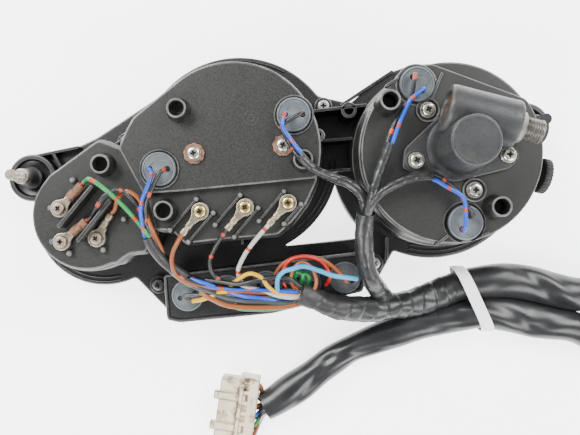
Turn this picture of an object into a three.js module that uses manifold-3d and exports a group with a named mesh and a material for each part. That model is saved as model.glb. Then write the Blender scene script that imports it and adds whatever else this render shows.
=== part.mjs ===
// Motorcycle instrument cluster, lying face down: speedometer, tachometer and coolant gauge in one housing,
// with its warning-lamp tray, angle drive, trip reset, wiring loom and the sleeved lead to its connector.
// Millimetres. +Z points to the back of the cluster, +X to the speedometer side, +Y to the windscreen side.
import * as THREE from "three";
import { mergeVertices } from "three/addons/utils/BufferGeometryUtils.js";
import Module from "manifold-3d";

const wasm = await Module();
wasm.setup();

// ---- Driving dimensions ----
const GAP = 0.3; // between pieces that touch
const PAST = 1; // how far a cutter runs past the face it cuts
const SKIN = 2.2; // wall of the moulded cases
const LIP = 3; // front lip that holds a lens
const BEZEL_TOP = 9;
const FLANGE_BOTTOM = BEZEL_TOP + GAP;
const FLANGE_TOP = 13;
const RIM = 40; // joint between the housing and the rear cases
const TEMP_DECK = 46;
const TERMINAL_DECK = 50;
const TACH_DECK = 54;
const SPEEDO_DECK = 63;
const TRAY_TOP = 31;
const EAR_TOP = 20;
const LUG_TOP = 16;
const LENS_WALL = 1.8;
const DIAL_BACK = 14.3;

const SPEEDO = { x: 83.3, y: 33.6, r: 57.6, window: 48 };
const TACH = { x: -30, y: 36, r: 59, window: 48 };
const TEMP = { x: -110, y: 1, r: 41, window: 30 };
const SPINDLE = { x: 86, y: 35.8 }; // speedometer pointer, magnet and angle-drive output
const EARS = { left: { x: -150, y: 23 }, right: { x: 137.5, y: 53 } };
const EAR_R = 13.75;
const STUD_R = 3;
const STUD_TOP = 49;

// Angle drive: a horizontal input shaft beside the vertical spindle.
const DRIVE = { x: 75.9, y: 53.4, z: 79, turn: -0.2553, length: 35, r: 12.1, bore: 8.5 };
const SPIGOT = { start: 35, ring: 38.5, end: 48, r: 6, bore: 3.9 };
const CAP = { top: 97, r: 11.8, baseR: 13.6, bore: 10.2 };

const KNOB = { x: 143.8, y: 23.5, z: 28, turn: -0.2, r: 10, thickness: 5.5 };
const DRUM = { r: 5, z: 20.5, half: 12.5, odometerY: 57.6, tripY: 12.5, axle: 1.2 };

// Warning-lamp tray: five bulb holders on one slanting line.
const TRAY = { x: -13.2, y: -38.6, turn: 0.1127, lamps: 5, pitch: 22.2 };
const HOLDER = { r: 9, thickness: 2.7, barrel: 7.2, depth: 8, clearance: 0.4 };
const REAR_LAMPS = {
  tach_left: [-68.8, 25.4, TACH_DECK],
  tach_right: [1.9, 54, TACH_DECK],
  speedo_top: [64.8, 68, SPEEDO_DECK],
  speedo_bottom: [89.6, -2.6, SPEEDO_DECK],
};

// Ring terminals: place, deck height and the angle at which the crimped barrel points.
const TERMINALS = [
  { x: -47.6, y: 3.2, deck: TERMINAL_DECK, angle: -2.214 },
  { x: -23.8, y: 5.4, deck: TERMINAL_DECK, angle: -2.244 },
  { x: -1.1, y: 7.7, deck: TERMINAL_DECK, angle: -2.291 },
  { x: -123.6, y: 4.8, deck: TEMP_DECK, angle: 0.772 },
  { x: -122.4, y: -13, deck: TEMP_DECK, angle: 0.666 },
  { x: -103.6, y: -11.2, deck: TEMP_DECK, angle: 1.016 },
];
const RING = { r: 4.6, z: 2.3, thickness: 1, barrel: 15, barrelR: 1.9, pad: 4.6, padHeight: 2 };
const SCREW = { head: 3.5, height: 2.2, shank: 1.6, hole: 1.9 };

const TACH_SCREWS = [
  [-50.5, 33.6],
  [-3.6, 37.9],
];
const FRAME_SCREWS = [
  [70.6, 55.1],
  [94.5, 14],
];
const DRIVE_SCREWS = [
  [64, 29],
  [110.7, 31.8],
];
const CASE_SCREWS = [
  [-77.1, -39.4],
  [-96.3, 44.6],
  [19.6, 65.3],
  [49.5, -26.8],
];

// Open tubes that stand on the rear cases: x, y, deck and height.
const TUBES = [
  [-58.7, 56.4, TACH_DECK, 8],
  [6.8, 30.1, TACH_DECK, 8],
  [-66, 3.6, TERMINAL_DECK, 9],
  [-100.1, 28.2, TEMP_DECK, 9],
];
const SPEEDO_TUBES = [
  [49.4, 57.9, SPEEDO_DECK, 14],
  [104.9, 5.4, SPEEDO_DECK, 12],
];
const TUBE = { r: 5.2, bore: 3.9, floor: 0.6 };

const SPEEDO_WALL_R = 49.3;
const SPEEDO_CASE = { footR: 48.6, topR: 47.1 };
const FLANGE_HOLES = { speedo: 45, tach: 44, temp: 27 };
const RIB = 1.8; // thickness of the ribs between the pods
const BOSS = { x: 33, y: 60.1, r: 4.5, hole: 2.4, top: 34, floor: 18 };

// ---- Materials ----
const paint = (color, roughness, metalness = 0, opacity = 1) =>
  new THREE.MeshStandardMaterial({ color, roughness, metalness, opacity, transparent: opacity < 1 });
const MATERIAL = {
  plastic: paint(0x1d1d1e, 0.5),
  drive: paint(0x222426, 0.55),
  lens: paint(0xe8eef0, 0.08, 0, 0.3),
  dial: paint(0x101012, 0.7),
  needle: paint(0xd8502a, 0.5),
  brass: paint(0xb99850, 0.4, 1),
  zinc: paint(0xc9c6bb, 0.35, 1),
  steel: paint(0x8d8a84, 0.45, 1),
  alloy: paint(0xb5b7ba, 0.4, 1),
  magnet: paint(0x3a3a3d, 0.5, 1),
  tin: paint(0x9c968a, 0.5, 1),
  holder: paint(0x53595d, 0.8),
  rubber: paint(0x141414, 0.9),
  fibre: paint(0x9a6a48, 0.85),
  cream: paint(0xd9cfb8, 0.6),
  white: paint(0xeceae4, 0.55),
  tape: paint(0x151618, 0.35),
  sleeve: paint(0x17181a, 0.25),
};

// ---- Solids ----
const WIDE = 24; // facets of a gauge-sized circle
const MID = 12;
const SMALL = 6;

// A closed solid from a geometry, turned to face outwards.
function solid(geometry) {
  const bare = geometry.clone();
  bare.deleteAttribute("normal");
  bare.deleteAttribute("uv");
  const merged = mergeVertices(bare, 1e-4);
  const corner = merged.index.array;
  const p = merged.attributes.position;
  const at = (i) => new THREE.Vector3().fromBufferAttribute(p, i);
  const kept = [];
  let volume = 0;
  for (let i = 0; i < corner.length; i += 3) {
    const [a, b, c] = [corner[i], corner[i + 1], corner[i + 2]];
    if (a === b || b === c || c === a) continue;
    kept.push([a, b, c]);
    volume += at(a).dot(at(b).cross(at(c)));
  }
  const facing = volume < 0 ? kept.map(([a, b, c]) => [a, c, b]) : kept;
  const triVerts = new Uint32Array(facing.flat());
  return new wasm.Manifold(new wasm.Mesh({ numProp: 3, vertProperties: p.array, triVerts }));
}

const joined = (pieces) => pieces.reduce((whole, piece) => whole.add(piece));
const without = (body, cutters) => cutters.reduce((rest, cutter) => rest.subtract(cutter), body);

// A round bar or cone along Z.
function round(x, y, r, z0, z1, facets = MID, topR = r) {
  const g = new THREE.CylinderGeometry(topR, r, z1 - z0, facets).rotateX(Math.PI / 2);
  return solid(g.translate(x, y, (z0 + z1) / 2));
}

// A turned piece along Z, from [radius, height] pairs.
function turned(x, y, profile, facets = MID) {
  const points = profile.map(([r, z]) => new THREE.Vector2(r, z));
  return solid(new THREE.LatheGeometry(points, facets).rotateX(Math.PI / 2).translate(x, y, 0));
}

function prism(points, z0, z1) {
  const shape = new THREE.Shape(points.map(([x, y]) => new THREE.Vector2(x, y)));
  const g = new THREE.ExtrudeGeometry(shape, { depth: z1 - z0, bevelEnabled: false });
  return solid(g.translate(0, 0, z0));
}

// A box that is turned about Z, by its centre, sizes and heights.
function block(x, y, length, width, turn, z0, z1) {
  const g = new THREE.BoxGeometry(length, width, z1 - z0).rotateZ(turn);
  return solid(g.translate(x, y, (z0 + z1) / 2));
}

// An upright wall between two points.
function wall([x0, y0], [x1, y1], thickness, z0, z1) {
  const length = Math.hypot(x1 - x0, y1 - y0);
  return block((x0 + x1) / 2, (y0 + y1) / 2, length, thickness, Math.atan2(y1 - y0, x1 - x0), z0, z1);
}

// A round bar that lies along a level axis: from and to are distances along it.
function bar(axis, r, from, to, facets = MID, endR = r) {
  const g = new THREE.CylinderGeometry(endR, r, to - from, facets).rotateZ(-Math.PI / 2);
  g.translate((from + to) / 2, 0, 0).rotateZ(axis.turn);
  return solid(g.translate(axis.x, axis.y, axis.z));
}

// A cable along a smooth curve through its points.
function cable(points, r, sides, steps) {
  const path = new THREE.CatmullRomCurve3(points.map((p) => new THREE.Vector3(...p)), false, "centripetal");
  const section = new THREE.Shape();
  for (let i = 0; i < sides; i++) {
    const a = (2 * Math.PI * i) / sides;
    section[i ? "lineTo" : "moveTo"](r * Math.cos(a), r * Math.sin(a));
  }
  return solid(new THREE.ExtrudeGeometry(section, { steps, bevelEnabled: false, extrudePath: path }));
}

// A counter-clockwise outline moved inwards by d, or outwards where d is negative.
function inset(points, d) {
  return points.map(([x, y], i) => {
    const [px, py] = points[(i + points.length - 1) % points.length];
    const [nx, ny] = points[(i + 1) % points.length];
    const before = new THREE.Vector2(x - px, y - py).normalize();
    const after = new THREE.Vector2(nx - x, ny - y).normalize();
    const lean = new THREE.Vector2(-before.y - after.y, before.x + after.x).normalize();
    const reach = d / Math.max(0.5, lean.dot(new THREE.Vector2(-before.y, before.x)));
    return [x + lean.x * reach, y + lean.y * reach];
  });
}

const arc = (x, y, r, from, to, pieces) =>
  Array.from({ length: pieces + 1 }, (_, i) => {
    const a = from + ((to - from) * i) / pieces;
    return [x + r * Math.cos(a), y + r * Math.sin(a)];
  });

const nodes = new THREE.Group();
function part(name, body, material) {
  const mesh = body.getMesh();
  const g = new THREE.BufferGeometry();
  g.setAttribute("position", new THREE.BufferAttribute(new Float32Array(mesh.vertProperties), 3));
  g.setIndex(new THREE.BufferAttribute(new Uint32Array(mesh.triVerts), 1));
  g.computeVertexNormals();
  const made = new THREE.Mesh(g, material);
  made.name = name;
  nodes.add(made);
}

// ---- Outlines ----
const TRAY_FLANGE = [
  [-97.2, -35.6], [-91.4, -35.6], [-68.8, -58.7], [-63, -61], [-9.8, -54.7], [50.3, -39.6],
  [60.7, -21.1], [66, -8], [46, -12], [-2.3, -17.2], [-40, 0], [-90, -5], [-110, -20],
];
const LEFT_SHOULDER = [[-125, 42.4], [-145, -4], [-100, -10], [-60, 40], [-66.7, 79], [-114.8, 47.2]];
const TOP_WEB = [[12.2, 73], [0, 40], [16, 24], [27, 21], [38, 24], [60, 40], [46.5, 76.5], [35.5, 67.8]];
const LEFT_ARM = [[-153.5, 36.3], [-155, 10.5], [-147, 9.5], [-120, 5], [-115, 40], [-125, 42.4]];
const RIGHT_ARM = [[97.6, 88], [90, 50], [120, 18], [146, 42.4], [143.5, 65.1], [124, 74]];
const TRAY_BOX = [[-71, -33], [-69, -57.5], [-62, -58.9], [-10, -53.7], [41, -41.3], [41.5, -23], [39, -20]];

const TACH_R = 46.5; // plan radius of the tachometer's rear case
const TEMP_R = 29.1;
const TACH_TOP = [
  ...arc(TACH.x, TACH.y, TACH_R, -0.337, 2.27, 12),
  [-82.8, 53], [-86.4, 46.7], [-90.7, 36.6], [-77.5, 12.4], [-57.5, 13.7],
];
const TERMINAL_FIELD = [
  [-72, -6.7], [-63, -7.2], [-56, -14.1], [-30.4, -11.2], [-6.4, -9.3], [1.6, -1.9],
  [9, 8], [14.8, 20.3], [10, 30], [-60, 30], [-78, 20],
];
const TEMP_FIELD = [
  [-94.5, -25.1], [-86.4, -19.2], [-77.8, -18.6], [-73, -7], [-66, 5], [-80, 34],
  [-90.7, 36.6], [-103.7, 41.8], [-130.4, 22.4], [-138.2, 10], [-125, -10],
];

// The flange outline that the bezel and the housing share.
const footprint = (z0, z1) =>
  joined([
    round(TACH.x, TACH.y, TACH.r, z0, z1, WIDE),
    round(SPEEDO.x, SPEEDO.y, SPEEDO.r, z0, z1, WIDE),
    round(TEMP.x, TEMP.y, TEMP.r, z0, z1, WIDE),
    ...[TRAY_FLANGE, LEFT_SHOULDER, TOP_WEB].map((outline) => prism(outline, z0, z1)),
  ]);

// The stepped case over tachometer and coolant gauge: its walls moved in by d, its decks lowered by drop.
const steppedCase = (d, drop, z0) =>
  joined([
    prism(inset(TACH_TOP, d), z0, TACH_DECK - drop),
    prism(inset(TERMINAL_FIELD, d), z0, TERMINAL_DECK - drop),
    prism(inset(TEMP_FIELD, d), z0, TEMP_DECK - drop),
    round(TEMP.x, TEMP.y, TEMP_R - d, z0, TEMP_DECK - drop, WIDE),
  ]);
const steppedWall = (d, z0, z1) =>
  joined([
    ...[TACH_TOP, TERMINAL_FIELD, TEMP_FIELD].map((outline) => prism(inset(outline, d), z0, z1)),
    round(TACH.x, TACH.y, TACH_R - d, z0, z1, WIDE),
    round(TEMP.x, TEMP.y, TEMP_R - d, z0, z1, WIDE),
  ]);

const trayLamps = Array.from({ length: TRAY.lamps }, (_, i) => {
  const along = (i - (TRAY.lamps - 1) / 2) * TRAY.pitch;
  return [TRAY.x + along * Math.cos(TRAY.turn), TRAY.y + along * Math.sin(TRAY.turn), TRAY_TOP];
});
const traySlot = (length, width, z0, z1) => block(TRAY.x, TRAY.y, length, width, TRAY.turn, z0, z1);

// ---- Front: bezel, lenses and lamp strip ----
const LENS_RIM = 2; // how far a lens reaches under the lip
const LENS_FACE = 5.3;
const STRIP = { length: 100, width: 11 };
const gauges = { speedo: SPEEDO, tach: TACH, temp: TEMP };
{
  const cutters = Object.values(gauges).flatMap((g) => [
    round(g.x, g.y, g.window, -PAST, LIP + PAST, WIDE),
    round(g.x, g.y, g.window + LENS_RIM + GAP, LIP, BEZEL_TOP + PAST, WIDE),
  ]);
  cutters.push(traySlot(STRIP.length, STRIP.width, -PAST, LIP + PAST));
  const seat = 2 * (LENS_RIM + GAP);
  cutters.push(traySlot(STRIP.length + seat, STRIP.width + seat, LIP, BEZEL_TOP + PAST));
  for (const [x, y] of CASE_SCREWS) {
    cutters.push(round(x, y, SCREW.hole, LIP + PAST, BEZEL_TOP + PAST, SMALL));
  }
  part("front_bezel", without(footprint(0, BEZEL_TOP), cutters), MATERIAL.plastic);
}

for (const [name, g] of Object.entries(gauges)) {
  const r = g.window + LENS_RIM;
  const front = LIP + GAP;
  const rim = r - LENS_WALL;
  const cup = [[0, front], [r, front], [r, BEZEL_TOP], [rim, BEZEL_TOP], [rim, LENS_FACE], [0, LENS_FACE]];
  part(name + "_lens", turned(g.x, g.y, cup, WIDE), MATERIAL.lens);
}
{
  const strip = traySlot(STRIP.length + 2 * LENS_RIM, STRIP.width + 2 * LENS_RIM, LIP + GAP, BEZEL_TOP);
  const hollow = traySlot(STRIP.length, STRIP.width, LENS_FACE, BEZEL_TOP + PAST);
  part("indicator_lens", strip.subtract(hollow), MATERIAL.lens);
}

// ---- Main housing ----
const WEB_WALLS = [
  [[13.4, 59.6], [42.5, 63], 34],
  [[17, 43.3], [38, 45], 30],
  [[17, 26], [39, 27.7], 30],
  [[-136, 33], [-152, 32], 19],
  [[-134, 8], [-150, 12], 19],
  [[56, -12], [55.5, -24], 24],
];
{
  const body = joined([
    footprint(FLANGE_BOTTOM, FLANGE_TOP),
    prism(LEFT_ARM, FLANGE_BOTTOM, FLANGE_TOP),
    prism(RIGHT_ARM, FLANGE_BOTTOM, FLANGE_TOP),
    round(EARS.left.x, EARS.left.y, EAR_R, FLANGE_BOTTOM, EAR_TOP),
    round(EARS.right.x, EARS.right.y, EAR_R, FLANGE_BOTTOM, EAR_TOP),
    steppedWall(-1.5, FLANGE_BOTTOM + PAST, RIM),
    round(SPEEDO.x, SPEEDO.y, SPEEDO_WALL_R, FLANGE_BOTTOM + PAST, RIM, WIDE),
    prism(TRAY_BOX, FLANGE_BOTTOM + PAST, TRAY_TOP),
    ...WEB_WALLS.map(([a, b, top]) => wall(a, b, RIB, FLANGE_BOTTOM + PAST, top)),
    ...CASE_SCREWS.map(([x, y]) => round(x, y, 4.8, FLANGE_BOTTOM + PAST, LUG_TOP)),
    round(BOSS.x, BOSS.y, BOSS.r, FLANGE_BOTTOM + PAST, BOSS.top),
  ]);
  const cutters = [
    steppedWall(0.7, FLANGE_TOP, RIM + PAST),
    round(SPEEDO.x, SPEEDO.y, SPEEDO_WALL_R - SKIN, FLANGE_TOP, RIM + PAST, WIDE),
    round(SPEEDO.x, SPEEDO.y, FLANGE_HOLES.speedo, FLANGE_BOTTOM - PAST, FLANGE_TOP + PAST, WIDE),
    round(TACH.x, TACH.y, FLANGE_HOLES.tach, FLANGE_BOTTOM - PAST, FLANGE_TOP + PAST, WIDE),
    round(TEMP.x, TEMP.y, FLANGE_HOLES.temp, FLANGE_BOTTOM - PAST, FLANGE_TOP + PAST, WIDE),
    prism(inset(TRAY_BOX, SKIN), FLANGE_TOP, TRAY_TOP - SKIN),
    traySlot(STRIP.length - 1, STRIP.width - 1, FLANGE_BOTTOM - PAST, FLANGE_TOP + PAST),
    ...trayLamps.map(([x, y, z]) => round(x, y, HOLDER.barrel + HOLDER.clearance, z - SKIN - PAST, z + PAST)),
    ...CASE_SCREWS.map(([x, y]) => round(x, y, SCREW.hole, FLANGE_BOTTOM - PAST, LUG_TOP + PAST, SMALL)),
    ...Object.values(EARS).map(({ x, y }) => round(x, y, STUD_R + GAP, FLANGE_TOP, EAR_TOP + PAST)),
    bar(KNOB, 2.4, -25, -5, SMALL),
    round(BOSS.x, BOSS.y, BOSS.hole, BOSS.floor, BOSS.top + PAST, SMALL),
  ];
  part("main_housing", without(body, cutters), MATERIAL.plastic);
}

// ---- Rear cases ----
const tubeOuter = ([x, y, deck, height]) => round(x, y, TUBE.r, deck - PAST, deck + height, MID);
const tubeBore = ([x, y, deck, height]) =>
  round(x, y, TUBE.bore, deck + TUBE.floor, deck + height + PAST, MID);
const lampHole = ([x, y, deck]) => round(x, y, HOLDER.barrel + HOLDER.clearance, deck - 5, deck + PAST);

// Upright guides beside the terminals: from, to and thickness.
const GUIDES = [
  [[-49.5, 9.7], [-63.2, -6.6]],
  [[-40.5, 2.4], [-53.7, -12.9]],
  [[-26.3, 11.8], [-39.5, -3.9]],
  [[-16.8, 5], [-29.5, -10.3]],
  [[-3.2, 13.9], [-16.3, -1.8]],
  [[5.8, 7.1], [-3.2, -3.4]],
];
const FINS = [
  [[-121.3, -4.5], [-104.3, 16]],
  [[-111.2, -11.9], [-94.9, 8.5]],
];
{
  const shell = without(steppedCase(0, 0, RIM + GAP), [steppedCase(SKIN, SKIN + GAP, RIM - PAST)]);
  const body = joined([
    shell,
    ...TUBES.map(tubeOuter),
    ...GUIDES.map(([a, b]) => wall(a, b, 1.2, TERMINAL_DECK - PAST, TERMINAL_DECK + 4)),
    ...FINS.map(([a, b]) => wall(a, b, 1.2, TEMP_DECK - PAST, TEMP_DECK + 10)),
    ...TERMINALS.map(({ x, y, deck }) => round(x, y, RING.pad, deck - PAST, deck + RING.padHeight)),
  ]);
  const lamps = [REAR_LAMPS.tach_left, REAR_LAMPS.tach_right];
  const cutters = [
    ...TUBES.map(tubeBore),
    ...lamps.map(lampHole),
    ...TERMINALS.map(({ x, y, deck }) => round(x, y, SCREW.hole, deck - 5, deck + 5, SMALL)),
    ...TACH_SCREWS.map(([x, y]) => round(x, y, SCREW.hole, TACH_DECK - 5, TACH_DECK + PAST, SMALL)),
  ];
  part("tach_rear_case", without(body, cutters), MATERIAL.plastic);
}
{
  const outer = joined([
    round(SPEEDO.x, SPEEDO.y, SPEEDO_CASE.footR, RIM + GAP, SPEEDO_DECK, WIDE, SPEEDO_CASE.topR),
    round(REAR_LAMPS.speedo_top[0], REAR_LAMPS.speedo_top[1], 10, 48, SPEEDO_DECK, MID),
  ]);
  const { footR, topR } = SPEEDO_CASE;
  const roof = SPEEDO_DECK - SKIN - GAP;
  const inner = round(SPEEDO.x, SPEEDO.y, footR - SKIN, RIM - PAST, roof, WIDE, topR - SKIN);
  const body = joined([outer.subtract(inner), ...SPEEDO_TUBES.map(tubeOuter)]);
  const cutters = [
    ...SPEEDO_TUBES.map(tubeBore),
    lampHole(REAR_LAMPS.speedo_top),
    lampHole(REAR_LAMPS.speedo_bottom),
    round(REAR_LAMPS.speedo_top[0], REAR_LAMPS.speedo_top[1], HOLDER.barrel + 0.4, 50, SPEEDO_DECK),
    round(SPINDLE.x, SPINDLE.y, 5, SPEEDO_DECK - 5, SPEEDO_DECK + PAST),
    ...[...FRAME_SCREWS, ...DRIVE_SCREWS].map(([x, y]) =>
      round(x, y, SCREW.hole, SPEEDO_DECK - 5, SPEEDO_DECK + PAST, SMALL),
    ),
  ];
  part("speedo_rear_case", without(body, cutters), MATERIAL.plastic);
}

// ---- Bulb holders: a rubber disc with a barrel that plugs into its hole ----
function bulbHolder(name, [x, y, deck]) {
  const { r, thickness, barrel, depth } = HOLDER;
  const base = deck + GAP;
  const profile = [[0, deck - depth], [barrel, deck - depth], [barrel, base], [r, base]];
  profile.push([r, base + thickness], [0, base + thickness]);
  part(name, turned(x, y, profile), MATERIAL.holder);
}
for (const [name, place] of Object.entries(REAR_LAMPS)) bulbHolder("bulb_holder_" + name, place);
trayLamps.forEach((place, i) => bulbHolder("bulb_holder_tray_" + (i + 1), place));

// ---- Screws ----
const screw = (x, y, seat, depth) =>
  joined([
    round(x, y, SCREW.head, seat, seat + SCREW.height, 10),
    round(x, y, SCREW.shank, seat - depth, seat + PAST, SMALL),
  ]);
FRAME_SCREWS.forEach(([x, y], i) =>
  part("frame_screw_" + (i + 1), screw(x, y, SPEEDO_DECK + GAP, 10), MATERIAL.zinc),
);
const PLATE_TOP = 66.3; // drive flange
DRIVE_SCREWS.forEach(([x, y], i) =>
  part("drive_screw_" + (i + 1), screw(x, y, PLATE_TOP + GAP, 10), MATERIAL.zinc),
);
CASE_SCREWS.forEach(([x, y], i) => {
  part("case_screw_" + (i + 1), screw(x, y, LUG_TOP + GAP, 11), MATERIAL.steel);
});
// Each tachometer screw carries its fibre washer.
TACH_SCREWS.forEach(([x, y], i) => {
  const washer = round(x, y, 5.5, TACH_DECK + GAP, TACH_DECK + GAP + 1);
  part("tach_screw_" + (i + 1), washer.add(screw(x, y, TACH_DECK + GAP + 1, 11)), MATERIAL.fibre);
});
// A ring terminal with its screw through the eye and its crimped barrel pointing away.
TERMINALS.forEach(({ x, y, deck, angle }, i) => {
  const seat = deck + RING.z;
  const axis = { x, y, z: seat + RING.barrelR, turn: angle };
  const [neckX, neckY] = [x + 5 * Math.cos(angle), y + 5 * Math.sin(angle)];
  const neck = block(neckX, neckY, 6, 3, angle, seat, seat + RING.thickness);
  const body = joined([
    round(x, y, RING.r, seat, seat + RING.thickness),
    neck,
    bar(axis, RING.barrelR, 7, RING.barrel, SMALL),
    screw(x, y, seat + RING.thickness, 10),
  ]);
  part("ring_terminal_" + (i + 1), body, i < 3 ? MATERIAL.brass : MATERIAL.tin);
});

// ---- Mounting ears: stud with its steel collar, and the rubber sleeve below the collar ----
for (const [side, { x, y }] of Object.entries(EARS)) {
  const sleeveTop = EAR_TOP + 11;
  const collarTop = sleeveTop + 5;
  const collar = round(x, y, 4.3, sleeveTop + GAP, collarTop);
  const stud = round(x, y, STUD_R, FLANGE_TOP + GAP, STUD_TOP);
  part("mounting_stud_" + side, stud.add(collar), MATERIAL.steel);
  const sleeve = round(x, y, 4.8, EAR_TOP + GAP, sleeveTop);
  part("stud_sleeve_" + side, sleeve.subtract(round(x, y, STUD_R + GAP, EAR_TOP, STUD_TOP)), MATERIAL.rubber);
}

// ---- Angle drive ----
const GEAR = { z: 79, half: 4, r: 8.8, at: 14.2, pinion: 5.2 };
{
  const plate = [
    [58, 35], [57, 25], [64, 21.5], [84, 18], [112, 25], [117, 31], [113, 38], [97, 55], [76, 52],
  ];
  const body = joined([
    prism(plate, SPEEDO_DECK + GAP, PLATE_TOP),
    round(SPINDLE.x, SPINDLE.y, CAP.baseR, SPEEDO_DECK + GAP, CAP.top, MID, CAP.r),
    bar(DRIVE, DRIVE.r, 0, DRIVE.length),
  ]);
  const cutters = [
    round(SPINDLE.x, SPINDLE.y, CAP.bore, PLATE_TOP + 2, CAP.top - 3),
    round(SPINDLE.x, SPINDLE.y, 2.3, SPEEDO_DECK, PLATE_TOP + 2 + PAST, SMALL),
    bar(DRIVE, DRIVE.bore, -PAST, DRIVE.length + PAST),
    ...DRIVE_SCREWS.map(([x, y]) => round(x, y, SCREW.hole, SPEEDO_DECK, PLATE_TOP + PAST, SMALL)),
    ...FRAME_SCREWS.map(([x, y]) => round(x, y, 4.4, SPEEDO_DECK, PLATE_TOP + PAST)),
  ];
  part("drive_housing", without(body, cutters), MATERIAL.drive);
}
part("drive_end_plug", bar(DRIVE, DRIVE.bore - GAP, 1.2, 4), MATERIAL.brass);
{
  const body = joined([
    bar(DRIVE, DRIVE.bore - GAP, SPIGOT.start - 6, SPIGOT.start + PAST),
    bar(DRIVE, DRIVE.bore - GAP, SPIGOT.start + GAP, SPIGOT.ring, MID, SPIGOT.r + 1),
    bar(DRIVE, SPIGOT.r, SPIGOT.ring - PAST, SPIGOT.end),
  ]);
  const bore = bar(DRIVE, SPIGOT.bore, SPIGOT.start - 8, SPIGOT.end + PAST);
  part("cable_spigot", body.subtract(bore), MATERIAL.alloy);
}
{
  const shaft = bar(DRIVE, 2.4, 4.5, SPIGOT.start + 2, SMALL);
  const pinion = bar(DRIVE, GEAR.pinion, GEAR.at - 5, GEAR.at + 5, MID);
  part("drive_input_shaft", shaft.add(pinion), MATERIAL.steel);
}

// ---- Speedometer movement ----
// The magnet turns with the cable; the cup around it drags the pointer round.
part(
  "drive_magnet",
  joined([
    round(SPINDLE.x, SPINDLE.y, 11, 21, 26),
    round(SPINDLE.x, SPINDLE.y, 1.9, 25, 90, SMALL),
    round(SPINDLE.x, SPINDLE.y, GEAR.r, GEAR.z - GEAR.half, GEAR.z + GEAR.half, MID),
  ]),
  MATERIAL.magnet,
);
part(
  "speed_cup",
  turned(SPINDLE.x, SPINDLE.y, [
    [0, 9.8], [0.8, 9.8], [0.8, 19], [14, 19], [14, 27], [13.2, 27], [13.2, 20], [0, 20],
  ]),
  MATERIAL.alloy,
);

const FRAME = { z0: 33, z1: 35, r: 33 };
const FRAME_LEGS = [[58, 33], [109, 52], [106, 16]];
{
  const bracket = (x, y) => block(x, y, 1.5, 5, 0, DRUM.z - 3, FRAME.z0 + PAST);
  const sides = [SPEEDO.x - DRUM.half - 3.2, SPEEDO.x + DRUM.half + 3.2];
  const drumYs = [DRUM.odometerY, DRUM.tripY];
  const body = joined([
    round(SPINDLE.x, SPINDLE.y, FRAME.r, FRAME.z0, FRAME.z1, WIDE),
    ...FRAME_LEGS.map(([x, y]) => round(x, y, 3, DIAL_BACK + GAP, FRAME.z0 + PAST, SMALL)),
    ...FRAME_SCREWS.map(([x, y]) => round(x, y, 4, FRAME.z0 + PAST, SPEEDO_DECK - SKIN - 2 * GAP, SMALL)),
    ...drumYs.flatMap((y) => sides.map((x) => bracket(x, y))),
  ]);
  const axleBore = (y) => bar({ x: SPEEDO.x, y, z: DRUM.z, turn: 0 }, DRUM.axle + GAP, -20, 20, SMALL);
  const cutters = [
    round(SPINDLE.x, SPINDLE.y, 2.2, FRAME.z0 - PAST, FRAME.z1 + PAST, SMALL),
    ...FRAME_SCREWS.map(([x, y]) => round(x, y, SCREW.hole, 50, SPEEDO_DECK, SMALL)),
    ...drumYs.map(axleBore),
  ];
  part("speedo_frame", without(body, cutters), MATERIAL.alloy);
}
for (const [name, y] of [["odometer_drums", DRUM.odometerY], ["trip_drums", DRUM.tripY]]) {
  const axis = { x: SPEEDO.x, y, z: DRUM.z, turn: 0 };
  const drums = bar(axis, DRUM.r, -DRUM.half, DRUM.half, 12);
  part(name, drums.add(bar(axis, DRUM.axle, -DRUM.half - 4.5, DRUM.half + 4.5, SMALL)), MATERIAL.white);
}

// ---- Dials ----
function dial(name, g, r, hole, windows = []) {
  const plate = round(g.x, g.y, r, FLANGE_TOP + GAP, DIAL_BACK, WIDE);
  const cutters = [round(hole.x, hole.y, 2.2, FLANGE_TOP - PAST, DIAL_BACK + PAST, SMALL)];
  for (const y of windows) cutters.push(block(g.x, y, 2 * DRUM.half - 1, 6, 0, FLANGE_TOP, DIAL_BACK + PAST));
  part(name, without(plate, cutters), MATERIAL.dial);
}
dial("speedo_dial", SPEEDO, 46.4, SPINDLE, [DRUM.odometerY, DRUM.tripY]);
dial("tach_dial", TACH, 45.2, TACH);
dial("temp_dial", TEMP, 27.9, TEMP);

// ---- Pointers: each rests at its zero mark ----
function pointer(name, { x, y }, angle, length, spindleDepth) {
  const hub = round(x, y, 4.6, 8, 11.5);
  const tail = length * 0.22;
  const blade = [[-tail, -2], [length, -0.5], [length, 0.5], [-tail, 2]].map(([along, across]) => [
    x + along * Math.cos(angle) - across * Math.sin(angle),
    y + along * Math.sin(angle) + across * Math.cos(angle),
  ]);
  const body = hub.add(prism(blade, 9, 10));
  const finished = spindleDepth
    ? body.add(round(x, y, 0.8, 11, spindleDepth, SMALL))
    : body.subtract(round(x, y, 1.1, 9.5, 12, SMALL));
  part(name, finished, MATERIAL.needle);
}
pointer("speedo_needle", SPINDLE, -Math.PI / 4, 36, 0);
pointer("tach_needle", TACH, -Math.PI / 4, 36, 24);
pointer("temp_needle", TEMP, Math.PI / 4, 20, 24);

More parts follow.
